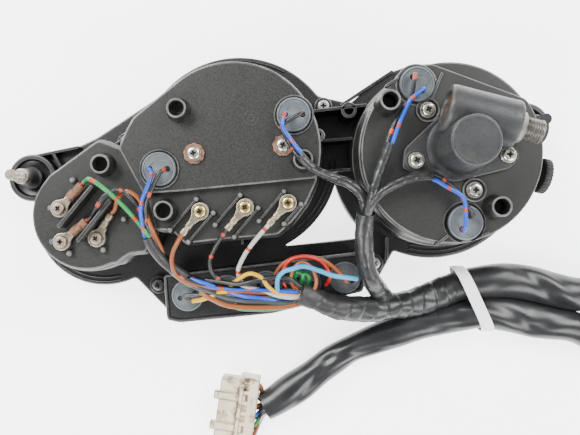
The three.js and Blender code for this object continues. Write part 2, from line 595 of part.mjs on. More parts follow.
// ---- Tachometer and coolant movements ----
{
  const [[x0, y0], [x1, y1]] = TACH_SCREWS;
  const top = TACH_DECK - SKIN - 2 * GAP;
  const body = joined([
    round(TACH.x, TACH.y, 16, 17, 35),
    wall([x0 - 4, y0], [x1 + 4, y1], 16, 34, 36),
    ...TACH_SCREWS.map(([x, y]) => round(x, y, 4, 35, top, SMALL)),
  ]);
  const cutters = [
    round(TACH.x, TACH.y, 1.2, 16, 27, SMALL),
    ...TACH_SCREWS.map(([x, y]) => round(x, y, SCREW.hole, 42, top + PAST, SMALL)),
  ];
  part("tach_movement", without(body, cutters), MATERIAL.alloy);
}
{
  const top = TEMP_DECK - SKIN - 2 * GAP;
  const posts = TERMINALS.filter(({ deck }) => deck === TEMP_DECK);
  const body = joined([
    round(TEMP.x, TEMP.y, 13, 17, 34),
    round(TEMP.x - 2, TEMP.y, 23, 33, 35, WIDE),
    ...posts.map(({ x, y }) => round(x, y, 3.2, 34, top, SMALL)),
  ]);
  const cutters = [
    round(TEMP.x, TEMP.y, 1.2, 16, 27, SMALL),
    ...posts.map(({ x, y }) => round(x, y, SCREW.hole, 36, top + PAST, SMALL)),
  ];
  part("temp_movement", without(body, cutters), MATERIAL.alloy);
}

// ---- Trip reset ----
part("reset_knob", bar(KNOB, KNOB.r, -KNOB.thickness / 2, KNOB.thickness / 2).subtract(
  bar(KNOB, 2.4, -KNOB.thickness, 1, SMALL),
), MATERIAL.rubber);
part("reset_shaft", bar(KNOB, 2, -40, 0.5, SMALL).add(bar(KNOB, 4, -40, -37, SMALL)), MATERIAL.steel);

// ---- Wiring loom: taped trunk, riser and branches, with the loose leads between them ----
const TRUNK = [
  [5.5, -41.3, 43], [12.1, -44.2, 42], [20, -47.5, 40], [28.2, -49.9, 37], [37.1, -51.1, 32.5],
  [46.2, -52.3, 27], [55.4, -52.2, 22], [66, -50.9, 17], [77.2, -49, 13], [87.2, -46.3, 10.6],
  [92.6, -44, 9.8],
];
const RISER = [
  [57, -49.7, 20], [51.5, -43.2, 26], [45, -34.2, 40], [41.3, -25.8, 46], [39.5, -17.3, 50],
  [39, -7.6, 54], [39.2, -3, 56], [39.4, 1.5, 58],
];
const BRANCHES = [
  [
    [39.6, 1, 58], [37.3, 11.6, 60], [31.1, 17.3, 60], [23.9, 20.2, 60], [15.6, 23.1, 63], [10, 26.5, 66],
    [3.6, 33.4, 66], [-0.5, 40, 62], [-4.1, 47.4, 63], [-3.1, 53.4, 63], [1, 55.6, 60.5],
  ],
  [
    [39.4, 1, 58], [40.6, 6.5, 65], [42.2, 14, 68.5], [45.3, 23.9, 69], [49.2, 34.9, 70], [53.1, 45.8, 70.5],
    [57.5, 54.8, 71], [62.7, 62.5, 71], [64.5, 67, 68.5],
  ],
  [
    [39.5, 1, 58], [41.5, 7.5, 66.5], [46.4, 12.9, 69.5], [54.2, 17.3, 70], [62.5, 20.2, 71], [71.4, 20.5, 71.5],
    [79, 16, 71], [85.3, 11.8, 70], [88.7, 5.3, 69.5], [89.4, -1.6, 68.5],
  ],
];
const LEFT_PAIR = [
  [-69.4, 26.4, 59.7], [-69.2, 22, 62], [-72.4, 14.8, 62], [-76.1, 6.6, 59], [-76.5, -2.4, 55], [-75.3, -12.1, 50],
  [-70.3, -21, 45], [-64.1, -27.7, 41], [-55.9, -33.7, 40], [-46.6, -37, 41], [-30.1, -38.5, 42],
  [-10.9, -39.5, 43], [5.5, -41.3, 42],
];
// Each lead starts at the mouth of its terminal's barrel.
const LEADS = [
  [[-62.4, -18.4, 50], [-63.7, -25.1, 46], [-61.6, -31.9, 43], [-54.6, -36.3, 42], [-41, -39.1, 42],
    [-21.8, -41.1, 43], [-2.7, -40.6, 43], [6.6, -40.7, 42]],
  [[-40, -16.3, 51], [-43.1, -24, 47], [-41.8, -30.7, 44], [-36, -35.1, 43], [-24.4, -36.1, 44],
    [-11.9, -33.3, 45], [-2.2, -34.5, 44], [6.6, -40.2, 42]],
  [[-19.7, -13.6, 51], [-25.3, -21.8, 47], [-28.2, -29.6, 44], [-25.7, -36.3, 42], [-15.3, -40.2, 42],
    [-2.7, -43.4, 42], [7.1, -43, 41]],
  [[-108.9, 19.4, 51], [-102.7, 19.4, 60], [-94.4, 13.5, 60], [-85, 2.9, 53.5], [-75.8, -8.3, 53],
    [-71.5, -18.7, 46], [-66.7, -27.6, 42], [-54.8, -37, 41], [-32.9, -41.9, 41], [-10.9, -43.5, 41.5],
    [6.6, -43, 41]],
  [[-105.7, 0.6, 51], [-99.5, 7.2, 58.5], [-95, 12, 60], [-89.9, 14.5, 57], [-82.5, 8.7, 54], [-75.9, -2.4, 54.5],
    [-71.9, -14.2, 49], [-67.4, -24.2, 44], [-54.6, -34.7, 42], [-27.3, -39.6, 42], [5.5, -41.9, 41]],
  [[-93.4, 4, 51], [-91.2, 9.8, 53], [-86.2, 13.8, 55], [-80.5, 11, 55], [-76.9, 5.1, 54.5], [-73.4, -4.5, 54],
    [-70, -14.8, 48], [-66.5, -24.2, 43], [-57.5, -33.7, 41.5], [-41.1, -40.3, 41], [-16.4, -43, 41.5],
    [5.5, -43, 41]],
];
const LEAD_R = 1.2;
const PAIR_R = 1.9;
function leadRoute(i) {
  const { x, y, deck, angle } = TERMINALS[i];
  const reach = RING.barrel + 4 * GAP;
  const z = deck + RING.z + RING.barrelR;
  return [[x + reach * Math.cos(angle), y + reach * Math.sin(angle), z], ...LEADS[i]];
}
part(
  "wiring_loom",
  joined([
    cable(TRUNK, 6, 8, 10),
    cable(RISER, 5.2, 8, 6),
    ...BRANCHES.map((route) => cable(route, PAIR_R + 0.6, 6, 9)),
    cable(LEFT_PAIR, PAIR_R, 6, 12),
    ...LEADS.map((_, i) => cable(leadRoute(i), LEAD_R, 6, 11)),
  ]),
  MATERIAL.tape,
);

// ---- Sleeved lead: out of the trunk, round a loop and back to the connector ----
const SLEEVE_R = 8.5;
const LEAD_Z = SLEEVE_R + 0.1;
const TIE_Z = 9.8; // the tie passes under both limbs
const SLEEVE_ROUTE = [
  [94.4, -43.2, 9.6], [101, -40.6, TIE_Z], [111, -38.8, TIE_Z], [126, -37.6, TIE_Z], [144, -40.2, LEAD_Z],
  [160, -44.5, LEAD_Z], [174, -46.5, LEAD_Z], [187, -43, LEAD_Z], [201, -34.5, LEAD_Z], [214, -26, LEAD_Z],
  [228, -23, LEAD_Z], [245.5, -27.7, LEAD_Z], [258.3, -40.5, LEAD_Z], [263, -58, LEAD_Z],
  [258.3, -75.5, LEAD_Z], [245.5, -88.3, LEAD_Z], [228, -93, LEAD_Z], [213, -90.5, LEAD_Z],
  [200, -83, LEAD_Z], [187, -74.5, LEAD_Z], [174, -68, LEAD_Z], [158, -62.8, LEAD_Z], [140, -59, LEAD_Z],
  [125, -57, TIE_Z], [111, -58, TIE_Z], [100, -59.8, LEAD_Z], [89, -61.8, LEAD_Z], [73, -65, LEAD_Z],
  [54, -71.5, LEAD_Z], [36, -80, LEAD_Z], [20, -90, LEAD_Z], [6, -100, LEAD_Z], [-3, -106, LEAD_Z],
  [-9, -110, LEAD_Z], [-14.8, -113, LEAD_Z],
];
part("harness_sleeve", cable(SLEEVE_ROUTE, SLEEVE_R, 8, 32), MATERIAL.sleeve);

// A flat tie round both limbs of the sleeve, pulled out of square.
const TIE = { x: 108.5, y: -48.5, width: 7.6, half: 9.8, clearance: 0.45, band: 0.7, lean: -0.46 };
function tieLoop(r, width) {
  const outline = [...arc(0, -TIE.half, r, -Math.PI, 0, 8), ...arc(0, TIE.half, r, 0, Math.PI, 8)];
  const shape = new THREE.Shape(outline.map(([x, y]) => new THREE.Vector2(x, y)));
  const g = new THREE.ExtrudeGeometry(shape, { depth: width, bevelEnabled: false });
  g.translate(0, 0, -width / 2).rotateY(Math.PI / 2);
  g.applyMatrix4(new THREE.Matrix4().makeShear(0, 0, TIE.lean, 0, 0, 0));
  return solid(g.translate(TIE.x, TIE.y, TIE_Z));
}
{
  const inner = SLEEVE_R + TIE.clearance;
  const band = tieLoop(inner + TIE.band, TIE.width).subtract(tieLoop(inner, 3 * TIE.width));
  part("tie_band", band, MATERIAL.white);
}

// Multi-pin connector: wire-side block, mating shroud and its latch hooks.
const PLUG = { x: -20.5, y: -117, turn: Math.PI - 0.145, length: 42, height: 15, block: 12, shroud: 11 };
{
  const { x, y, turn, length, height } = PLUG;
  const along = (d, across = 0) => [
    x + d * Math.cos(turn) - across * Math.sin(turn),
    y + d * Math.sin(turn) + across * Math.cos(turn),
  ];
  const slab = (from, to, width, z0, z1, across = 0) => {
    const [cx, cy] = along((from + to) / 2, across);
    return block(cx, cy, to - from, width, turn, z0, z1);
  };
  const end = PLUG.block + PLUG.shroud;
  const body = joined([
    slab(0, PLUG.block, length, 0.2, height),
    slab(PLUG.block - PAST, end, length - 4, 1.5, height - 1.5),
    slab(PLUG.block - 4, end + 3, 5, height - 2, height, 9),
    slab(PLUG.block - 4, end + 3, 5, height - 2, height, -9),
    bar({ x: -16.2, y: -113.7, z: LEAD_Z, turn: Math.PI + 0.42 }, 6, 0, 10),
  ]);
  const cavity = slab(PLUG.block + 1, end + PAST, length - 7, 3, height - 3);
  part("connector", body.subtract(cavity), MATERIAL.cream);
}

// The origin is under the middle of the cluster, on the surface that its bezel rests on.
// The loose lead isn't counted.
const LOOSE = ["harness_sleeve", "tie_band", "connector"];
const extent = new THREE.Box3();
for (const mesh of nodes.children.filter(({ name }) => !LOOSE.includes(name))) extent.expandByObject(mesh);
const middle = extent.getCenter(new THREE.Vector3());
nodes.position.set(-middle.x, -middle.y, 0);

const cluster = new THREE.Group();
cluster.add(nodes);
export default cluster;
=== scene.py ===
# Motorcycle instrument cluster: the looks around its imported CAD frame.
# Lengths are millimetres in the cluster's own frame, and place() turns them into metres of the row frame.
import math
import bpy
import numpy as np
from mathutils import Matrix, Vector
from mathutils.geometry import delaunay_2d_cdt


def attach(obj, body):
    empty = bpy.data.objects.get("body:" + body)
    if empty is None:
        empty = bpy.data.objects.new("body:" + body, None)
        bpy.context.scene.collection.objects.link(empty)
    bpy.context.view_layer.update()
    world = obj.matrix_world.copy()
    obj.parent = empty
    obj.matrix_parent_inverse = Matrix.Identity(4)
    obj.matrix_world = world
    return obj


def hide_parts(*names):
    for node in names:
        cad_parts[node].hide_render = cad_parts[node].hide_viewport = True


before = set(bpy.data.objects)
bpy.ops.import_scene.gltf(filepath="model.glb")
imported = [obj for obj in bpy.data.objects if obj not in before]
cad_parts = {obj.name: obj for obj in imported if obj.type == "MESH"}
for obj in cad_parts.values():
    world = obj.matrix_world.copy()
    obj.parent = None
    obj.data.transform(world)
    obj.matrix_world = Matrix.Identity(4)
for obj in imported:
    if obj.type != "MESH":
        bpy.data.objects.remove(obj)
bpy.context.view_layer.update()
SEED = 7
rng = np.random.default_rng(SEED)

SHIFT = np.array([6.25, -17.0, 0.0])
ROOT = "housing"
TAU = 2 * math.pi


def place(points):
    return (np.asarray(points, float) + SHIFT) / 1000


# ---- Camera, straight above the cluster, and soft light ----
CAMERA_HEIGHT = 383
LENS_PER_WIDTH = 624 / 580
SENSOR = 36
camera = bpy.data.objects.new("camera", bpy.data.cameras.new("camera"))
bpy.context.scene.collection.objects.link(camera)
camera.location = place([0, 0, CAMERA_HEIGHT])
camera.data.sensor_width = SENSOR
camera.data.lens = SENSOR * LENS_PER_WIDTH
camera.data.clip_start = 0.01
bpy.context.scene.camera = camera


# ---- Curves in space ----
def route(text):
    """Points in space, written as x y z, x y z."""
    return [tuple(map(float, point.split())) for point in text.split(",")]


def spline(points, spacing):
    """Evenly spaced points on a centripetal curve through the given points."""
    p = np.asarray(points, float)
    p = np.vstack([2 * p[0] - p[1], p, 2 * p[-1] - p[-2]])
    out = []
    for a, b, c, d in zip(p, p[1:], p[2:], p[3:]):
        t = [0.0]
        for u, v in ((a, b), (b, c), (c, d)):
            t.append(t[-1] + max(np.linalg.norm(v - u), 1e-6) ** 0.5)
        for s in np.linspace(t[1], t[2], 24, endpoint=False):
            ab = a + (b - a) * (s - t[0]) / (t[1] - t[0])
            bc = b + (c - b) * (s - t[1]) / (t[2] - t[1])
            cd = c + (d - c) * (s - t[2]) / (t[3] - t[2])
            abc = ab + (bc - ab) * (s - t[0]) / (t[2] - t[0])
            bcd = bc + (cd - bc) * (s - t[1]) / (t[3] - t[1])
            out.append(abc + (bcd - abc) * (s - t[1]) / (t[2] - t[1]))
    out = np.vstack([out, p[-2]])
    far = np.r_[0, np.cumsum(np.linalg.norm(np.diff(out, axis=0), axis=1))]
    at = np.linspace(0, far[-1], max(3, int(far[-1] / spacing) + 1))
    return np.stack([np.interp(at, far, out[:, k]) for k in range(3)], 1), at


def frames(line):
    """Two directions across the line at each point, without twist."""
    along = np.gradient(line, axis=0)
    along /= np.linalg.norm(along, axis=1)[:, None]
    across = np.cross(along[0], [0, 0, 1.0])
    if np.linalg.norm(across) < 1e-3:
        across = np.array([1.0, 0, 0])
    sides = []
    for t in along:
        across = across - t * across.dot(t)
        across /= np.linalg.norm(across)
        sides.append(across)
    sides = np.array(sides)
    return sides, np.cross(sides, along)


# ---- Flat outlines ----
def circle(x, y, r, pieces=96):
    a = np.arange(pieces) * TAU / pieces
    return np.c_[x + r * np.cos(a), y + r * np.sin(a)]


def resampled(loop, spacing):
    closed = np.vstack([loop, loop[:1]])
    far = np.r_[0, np.cumsum(np.linalg.norm(np.diff(closed, axis=0), axis=1))]
    at = np.linspace(0, far[-1], max(8, int(far[-1] / spacing)), endpoint=False)
    return np.c_[np.interp(at, far, closed[:, 0]), np.interp(at, far, closed[:, 1])]


def softened(loop, spacing=1.0, passes=3):
    """The outline with its corners rounded."""
    p = resampled(np.asarray(loop, float), spacing)
    for _ in range(passes):
        p = (np.roll(p, 1, 0) + 2 * p + np.roll(p, -1, 0)) / 4
    return p


def outward(loop):
    t = np.roll(loop, -1, 0) - np.roll(loop, 1, 0)
    n = np.c_[t[:, 1], -t[:, 0]]
    return n / np.linalg.norm(n, axis=1)[:, None]


def crossings(p, gap):
    """Which sides of the outline cross the side that comes gap places later."""
    def turn(o, u, v):
        return (u[:, 0] - o[:, 0]) * (v[:, 1] - o[:, 1]) - (u[:, 1] - o[:, 1]) * (v[:, 0] - o[:, 0])

    a, b, c, d = (np.roll(p, -k, 0) for k in (0, 1, gap, gap + 1))
    return (turn(a, b, c) * turn(a, b, d) < 0) & (turn(c, d, a) * turn(c, d, b) < 0)


def grown(loop, d):
    """The outline moved out by d. A corner too tight for it is smoothed until nothing runs backwards or crosses."""
    made, along = loop + outward(loop) * d, np.roll(loop, -1, 0) - loop
    for _ in range(80):
        back = np.sum((np.roll(made, -1, 0) - made) * along, 1) < 0.02 * np.sum(along ** 2, 1)
        wrong = back | np.roll(back, 1)
        for gap in range(2, 26):
            knots = crossings(made, gap)
            for k in range(1, gap + 1):
                wrong |= np.roll(knots, k)
        if not wrong.any():
            break
        made[wrong] = ((np.roll(made, 1, 0) + np.roll(made, -1, 0)) / 2)[wrong]
    return made


def signed_area(p):
    return 0.5 * float(np.sum(p[:, 0] * np.roll(p[:, 1], -1) - np.roll(p[:, 0], -1) * p[:, 1]))


def merged(*loops, without=()):
    """The outlines round several overlapping ones, less some others: the outer one first, then any gaps."""
    verts, faces = [], []
    for loop in (*loops, *without):
        loop = np.asarray(loop, float)
        if signed_area(loop) < 0:
            loop = loop[::-1]
        faces.append(list(range(len(verts), len(verts) + len(loop))))
        verts += [Vector(p) for p in loop]
    points, _, tris, _, _, within = delaunay_2d_cdt(verts, [], faces, 0, 1e-5)
    sides = {
        (t[i], t[(i + 1) % 3]) for t, owners in zip(tris, within) if owners and max(owners) < len(loops)
        for i in range(3)
    }
    step = {a: b for a, b in sorted(sides) if (b, a) not in sides}
    runs = []
    while step:
        start, at = next(iter(step.items()))
        run = [start]
        del step[start]
        while at != start and at in step:
            run.append(at)
            at = step.pop(at)
        runs.append(np.array([points[i] for i in run]))
    return sorted(runs, key=lambda run: -abs(signed_area(run)))


# ---- Meshes ----
class Builder:
    """Collects the closed shells of one piece. paint is the index of the material that new faces take."""

    def __init__(self):
        self.verts, self.wear, self.faces, self.indices, self.paint = [], [], [], [], 0

    def ring(self, points, wear=0.0):
        start = len(self.verts)
        self.verts += [tuple(p) for p in points]
        self.wear += [wear] * len(points)
        return np.arange(start, start + len(points))

    def add(self, faces, paint=None):
        self.faces += faces
        self.indices += [self.paint if paint is None else paint] * len(faces)

    def side(self, lower, upper, paint=None):
        """Faces between two rings, facing away from a counter-clockwise ring's middle."""
        a, b = np.roll(lower, -1), np.roll(upper, -1)
        self.add([tuple(map(int, q)) for q in zip(lower, a, b, upper)], paint)

    def sides(self, rings):
        for lower, upper in zip(rings, rings[1:]):
            self.side(lower, upper)

    def fan(self, ring, tip, up):
        turned = list(zip(ring, np.roll(ring, -1)))
        self.add([(int(i), int(j), int(tip)) if up else (int(j), int(i), int(tip)) for i, j in turned])

    def cap(self, rings, up=True):
        """A flat face inside the first ring and outside the others."""
        ids = np.concatenate(rings)
        flat = np.array([self.verts[i][:2] for i in ids])
        edges, at = [], 0
        for r in rings:
            edges += [(at + i, at + (i + 1) % len(r)) for i in range(len(r))]
            at += len(r)
        points, lines, tris, origin, bounds, _ = delaunay_2d_cdt([Vector(p) for p in flat], edges, [], 0, 1e-6)
        walls = {frozenset(line) for line, whose in zip(lines, bounds) if whose}
        beside = {}
        for k, t in enumerate(tris):
            for i in range(3):
                beside.setdefault(frozenset((t[i], t[(i + 1) % 3])), []).append(k)
        # A triangle is kept when an odd number of outlines lies between it and the outside.
        keep = {ks[0]: line in walls for line, ks in beside.items() if len(ks) == 1}
        queue = list(keep)
        while queue:
            k = queue.pop()
            for i in range(3):
                line = frozenset((tris[k][i], tris[k][(i + 1) % 3]))
                for other in beside[line]:
                    if other not in keep:
                        keep[other] = keep[k] != (line in walls)
                        queue.append(other)
        height = self.verts[int(ids[0])][2]
        own = [int(ids[o[0]]) if o else int(self.ring([(*p, height)])[0]) for p, o in zip(points, origin)]
        for k, t in enumerate(tris):
            if keep[k]:
                a, b, c = (own[i] for i in t)
                self.add([(a, b, c) if up else (a, c, b)])

    def outline(self, loop, profile, turn=1):
        """Rings of an outline, each (inset, height) or (inset, height, edge mark); the edge mark is how much of the
        edge colour a ring takes, which stands partly for worn edges and partly for painted highlight; turn -1 is for
        a hole.
        """
        made = []
        for inset, z, *wear in profile:
            flat = grown(loop, -turn * inset)
            made.append(self.ring(np.c_[flat, np.full(len(flat), z)] + SHIFT, *wear))
        return made

    def plate(self, loop, profile, through=(), from_top=(), from_below=()):
        """A closed plate: the profile runs from its lowest ring to its highest, and a hole is (outline, profile)."""
        outer = self.outline(loop, profile)
        self.sides(outer)
        floor, top = [outer[0]], [outer[-1]]
        for hole, path in through:
            rings = self.outline(hole, path, -1)
            self.sides(rings[::-1])
            floor.append(rings[0])
            top.append(rings[-1])
        for hole, path in from_top:
            rings = self.outline(hole, path, -1)
            self.sides(rings)
            top.append(rings[0])
            self.cap([rings[-1]])
        for hole, path in from_below:
            rings = self.outline(hole, path, -1)
            self.sides(rings[::-1])
            floor.append(rings[0])
            self.cap([rings[-1]], up=False)
        self.cap(floor, up=False)
        self.cap(top)
        return self

    def turn(self, profile, origin, axis=(0, 0, 1), pieces=64, shape=None, closed=False):
        """A turned shell from (radius, distance) or (radius, distance, edge mark) along the axis, first end to last;
        the edge mark stands partly for worn edges and partly for painted highlight.
        """
        axis = np.array(axis, float) / np.linalg.norm(axis)
        first = np.cross(axis, [0, 0, 1.0]) if abs(axis[2]) < 0.9 else np.array([1.0, 0, 0])
        first /= np.linalg.norm(first)
        second = np.cross(axis, first)
        a = np.arange(pieces) * TAU / pieces
        across = np.cos(a)[:, None] * first + np.sin(a)[:, None] * second
        rows = []
        for r, d, *wear in profile:
            centre = np.asarray(origin, float) + SHIFT + axis * d
            points = [centre] if r < 1e-6 else centre + (r * (shape(a, r, d) if shape else np.ones(pieces)))[:,
                None] * across
            rows.append(self.ring(points, *wear))
        if closed:
            rows.append(rows[0])
        for lower, upper in zip(rows, rows[1:]):
            if len(lower) == len(upper) == 1:
                continue
            if len(lower) == 1:
                self.fan(upper, lower[0], up=False)
            elif len(upper) == 1:
                self.fan(lower, upper[0], up=True)
            else:
                self.side(lower, upper)
        return self

    def tube(self, route, radius, spacing=1.0, sides=16, bands=(), floor=None, hollow=0):
        """A cable along a route. radius is a number or a function of angle and distance, bands are
        (from, to, paint) stretches, and hollow is how many rows deep its far end is open."""
        line, far = spline(route, spacing)
        u, v = frames(line)
        a = np.arange(sides) * TAU / sides
        rows = []
        for p, n, m, s in zip(line, u, v, far):
            r = np.reshape(radius(a, s, far[-1]) if callable(radius) else radius, (-1, 1))
            points = p + SHIFT + r * (np.cos(a)[:, None] * n - np.sin(a)[:, None] * m)
            if floor is not None:
                points[:, 2] = np.maximum(points[:, 2], floor)
            rows.append(self.ring(points))
        for lower, upper, s in zip(rows, rows[1:], (far[:-1] + far[1:]) / 2):
            paint = next((which for start, stop, which in bands if start <= s < stop), self.paint)
            self.side(lower, upper, paint)
        self.fan(rows[0], self.ring([line[0] + SHIFT])[0], up=False)
        last = -1 - hollow
        if hollow:
            for row, middle, keep in ((rows[-1], line[-1], 0.9), (rows[last], line[last], 0.84)):
                outer = np.array([self.verts[i] for i in row])
                rows.append(self.ring((middle + SHIFT) + (outer - middle - SHIFT) * keep))
            self.sides([rows[-3], rows[-2], rows[-1]])
        self.fan(rows[-1], self.ring([line[last] + SHIFT])[0], up=True)
        return self

    def made(self, name, material, body=ROOT, stands_for=(), slot=None, smooth=40):
        mesh = bpy.data.meshes.new(name)
        mesh.from_pydata((np.array(self.verts) / 1000).tolist(), [], self.faces)
        mesh.attributes.new("wear", "FLOAT", "POINT").data.foreach_set("value", self.wear)
        mesh.shade_smooth()
        mesh.set_sharp_from_angle(angle=math.radians(smooth))
        for m in material if isinstance(material, list) else [material]:
            mesh.materials.append(m)
        mesh.polygons.foreach_set("material_index", self.indices)
        piece = bpy.data.objects.new(name, mesh)
        bpy.context.scene.collection.objects.link(piece)
        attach(piece, body)
        if stands_for:
            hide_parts(*([stands_for] if isinstance(stands_for, str) else stands_for))
        return piece


def edged(low, high, soft=0.6, wear=1.0, foot=0.0):
    """The profile of a plate whose upper edge is rounded and takes the edge colour, partly worn edge and partly
    painted highlight, with a strip of plain face inside it.
    """
    return [(foot, low), (0, low + foot + 0.05), (0, high - soft), (0.3 * soft, high - 0.3 * soft, wear),
        (soft, high, 0.8 * wear), (soft + 0.35, high)]


def stadium(a, b, width, pieces=10):
    """The outline of a round-ended bar between two points."""
    a, b = np.array(a, float), np.array(b, float)
    turn = math.atan2(b[1] - a[1], b[0] - a[0])
    out = []
    for centre, start in ((b, turn - math.pi / 2), (a, turn + math.pi / 2)):
        for k in range(pieces + 1):
            t = start + math.pi * k / pieces
            out.append(centre + width / 2 * np.array([math.cos(t), math.sin(t)]))
    return np.array(out)


def rectangle(x, y, length, width, turn, corner=1.5, spacing=1.0):
    c, s = math.cos(turn), math.sin(turn)
    corners = [(-1, -1), (1, -1), (1, 1), (-1, 1)]
    flat = [
        (x + c * u * length / 2 - s * v * width / 2, y + s * u * length / 2 + c * v * width / 2) for u, v in corners
    ]
    return softened(flat, spacing, max(1, math.ceil(2 * (corner / spacing) ** 2)))


# ---- Materials ----
# Sizes of the noise for the tone and for the edge colour, which stands partly for worn edges and partly for painted
# highlight, and the roughness of a clear coat.
TONE_SCALE, WEAR_AND_LIGHT_SCALE, COAT_ROUGH = 60, 120, 0.12


def fill(node, inputs):
    """Sets each named input of a node to a value, or links it to another node's output."""
    for key, value in inputs.items():
        if isinstance(value, bpy.types.NodeSocket):
            node.id_data.links.new(value, node.inputs[key])
        else:
            node.inputs[key].default_value = value


def new_material(name):
    """A material, its shader, and a function that adds a node and gives one of its outputs."""
    material = bpy.data.materials.new(name)
    material.use_nodes = True

    def put(kind, out, inputs=(), **settings):
        node = material.node_tree.nodes.new("ShaderNode" + kind)
        for key, value in settings.items():
            setattr(node, key, value)
        fill(node, dict(inputs))
        return node.outputs[out]

    return material, material.node_tree.nodes["Principled BSDF"], put


def surface(name, color, rough, metal=0.0, vary=0.25, grain=1500, bump=0.3, second=None, patch=45,
        patch_at=(0.5, 0.62), wear=None, coat=0.0, rough_vary=0.12, bump_mm=0.05, streak=None):
    """A procedural finish: a grained base, patches of a second colour, and edges in another colour that is partly
    worn edge and partly painted light: a painted highlight where it is lighter, painted shade where it is darker.
    """
    material, shader, put = new_material(name)
    where = put("TexCoord", "Object")
    if streak:
        where = put("Mapping", "Vector", {"Vector": where, "Scale": streak})

    def noise(scale, detail=4.0, roughness=0.55):
        return put("TexNoise", "Fac", {"Vector": where, "Scale": scale, "Detail": detail, "Roughness": roughness})

    def ranged(value, low, high, to_low, to_high):
        names = ("Value", "From Min", "From Max", "To Min", "To Max")
        return put("MapRange", "Result", zip(names, (value, low, high, to_low, to_high)))

    def mixed(amount, a, b):
        a, b = ((*c, 1) if isinstance(c, tuple) else c for c in (a, b))
        return put("Mix", "Result", {"Factor": amount, "A": a, "B": b}, data_type="RGBA")

    dark = tuple(c * (1 - vary) for c in color)
    light = tuple(min(1, c * (1 + vary)) for c in color)
    tone = mixed(ranged(noise(TONE_SCALE), 0.35, 0.65, 0, 1), dark, light)
    if second:
        tone = mixed(ranged(noise(patch, 6, 0.65), *patch_at, 0, 1), tone, second)
    if wear:
        wear_and_light_mask = put("Attribute", "Fac", attribute_name="wear")
        broken = ranged(noise(WEAR_AND_LIGHT_SCALE), 0.3, 0.6, 0.25, 1.0)
        tone = mixed(put("Math", 0, {0: wear_and_light_mask, 1: broken}, operation="MULTIPLY"), tone, wear)
    fine = noise(grain, 3)
    relief = put("Bump", "Normal", {"Strength": bump, "Distance": bump_mm / 1000, "Height": fine})
    fill(shader, {"Base Color": tone, "Normal": relief, "Metallic": metal, "Coat Weight": coat,
        "Coat Roughness": COAT_ROUGH, "Roughness": ranged(fine, 0.3, 0.7, rough - rough_vary, rough + rough_vary)})
    return material


# The lighter edge colours below stand partly for worn edges and partly for painted highlight along the edges.
CASE = surface("case_plastic", (0.0115, 0.0115, 0.0108), 0.42, vary=0.06, grain=1400, bump=0.18,
    second=(0.0135, 0.0132, 0.0123), patch_at=(0.42, 0.75), wear=(0.12, 0.12, 0.116))
WALL = surface("housing_plastic", (0.0059, 0.0059, 0.0061), 0.38, vary=0.2, grain=1400, bump=0.15,
    second=(0.0126, 0.0113, 0.0092), patch_at=(0.55, 0.75), wear=(0.0672, 0.0672, 0.0672))
DRIVE_PAINT = surface("drive_paint", (0.016, 0.0175, 0.019), 0.46, grain=900, bump=0.45,
    second=(0.036, 0.032, 0.026), patch=150, patch_at=(0.5, 0.8), wear=(0.042, 0.04, 0.036), bump_mm=0.1)
RUST_RING = surface("rusty_plug", (0.0225, 0.02, 0.018), 0.6, metal=0.4, vary=0.5, grain=1200, bump=0.5,
    second=(0.1, 0.05, 0.0225), patch=160, patch_at=(0.45, 0.6))
HOLDER_RUBBER = surface("holder_rubber", (0.0633, 0.077, 0.0869), 0.62, vary=0.18, second=(0.0385, 0.0451, 0.0495),
    patch=140, patch_at=(0.5, 0.7), wear=(0.132, 0.1485, 0.1595))
# A darker copy of the holder rubber, for the tray holders after the first: painted shade.
SHADED_HOLDER = surface("shaded_holder_rubber", (0.03, 0.035, 0.038), 0.66, vary=0.2, second=(0.018, 0.02, 0.022),
    patch=140, patch_at=(0.5, 0.7), wear=(0.07, 0.08, 0.085))
RUBBER = surface("black_rubber", (0.0054, 0.0054, 0.0054), 0.55, vary=0.2, second=(0.0203, 0.018, 0.0158),
    patch_at=(0.6, 0.8), wear=(0.027, 0.027, 0.0261))
ZINC = surface("zinc_plate", (0.62, 0.6, 0.5), 0.27, metal=1, vary=0.12, grain=2500, bump=0.15,
    second=(0.35, 0.32, 0.22), patch=400, patch_at=(0.5, 0.68), wear=(0.8, 0.79, 0.74))
# Dark colour for the inside of a screw's cross recess.
RECESS = surface("dark_recess", (0.03, 0.026, 0.02), 0.7, vary=0.3, grain=2000)
BRASS_HEAD = surface("brass_plate", (0.6, 0.42, 0.14), 0.3, metal=1, vary=0.15, grain=2500, bump=0.2,
    second=(0.25, 0.16, 0.06), patch=450, patch_at=(0.48, 0.66), wear=(0.85, 0.7, 0.35))
OLD_STEEL = surface("oxidised_steel", (0.27, 0.2, 0.16), 0.5, metal=0.8, vary=0.3, grain=2200, bump=0.4,
    second=(0.12, 0.075, 0.05), patch=420, patch_at=(0.42, 0.6), wear=(0.45, 0.38, 0.32))
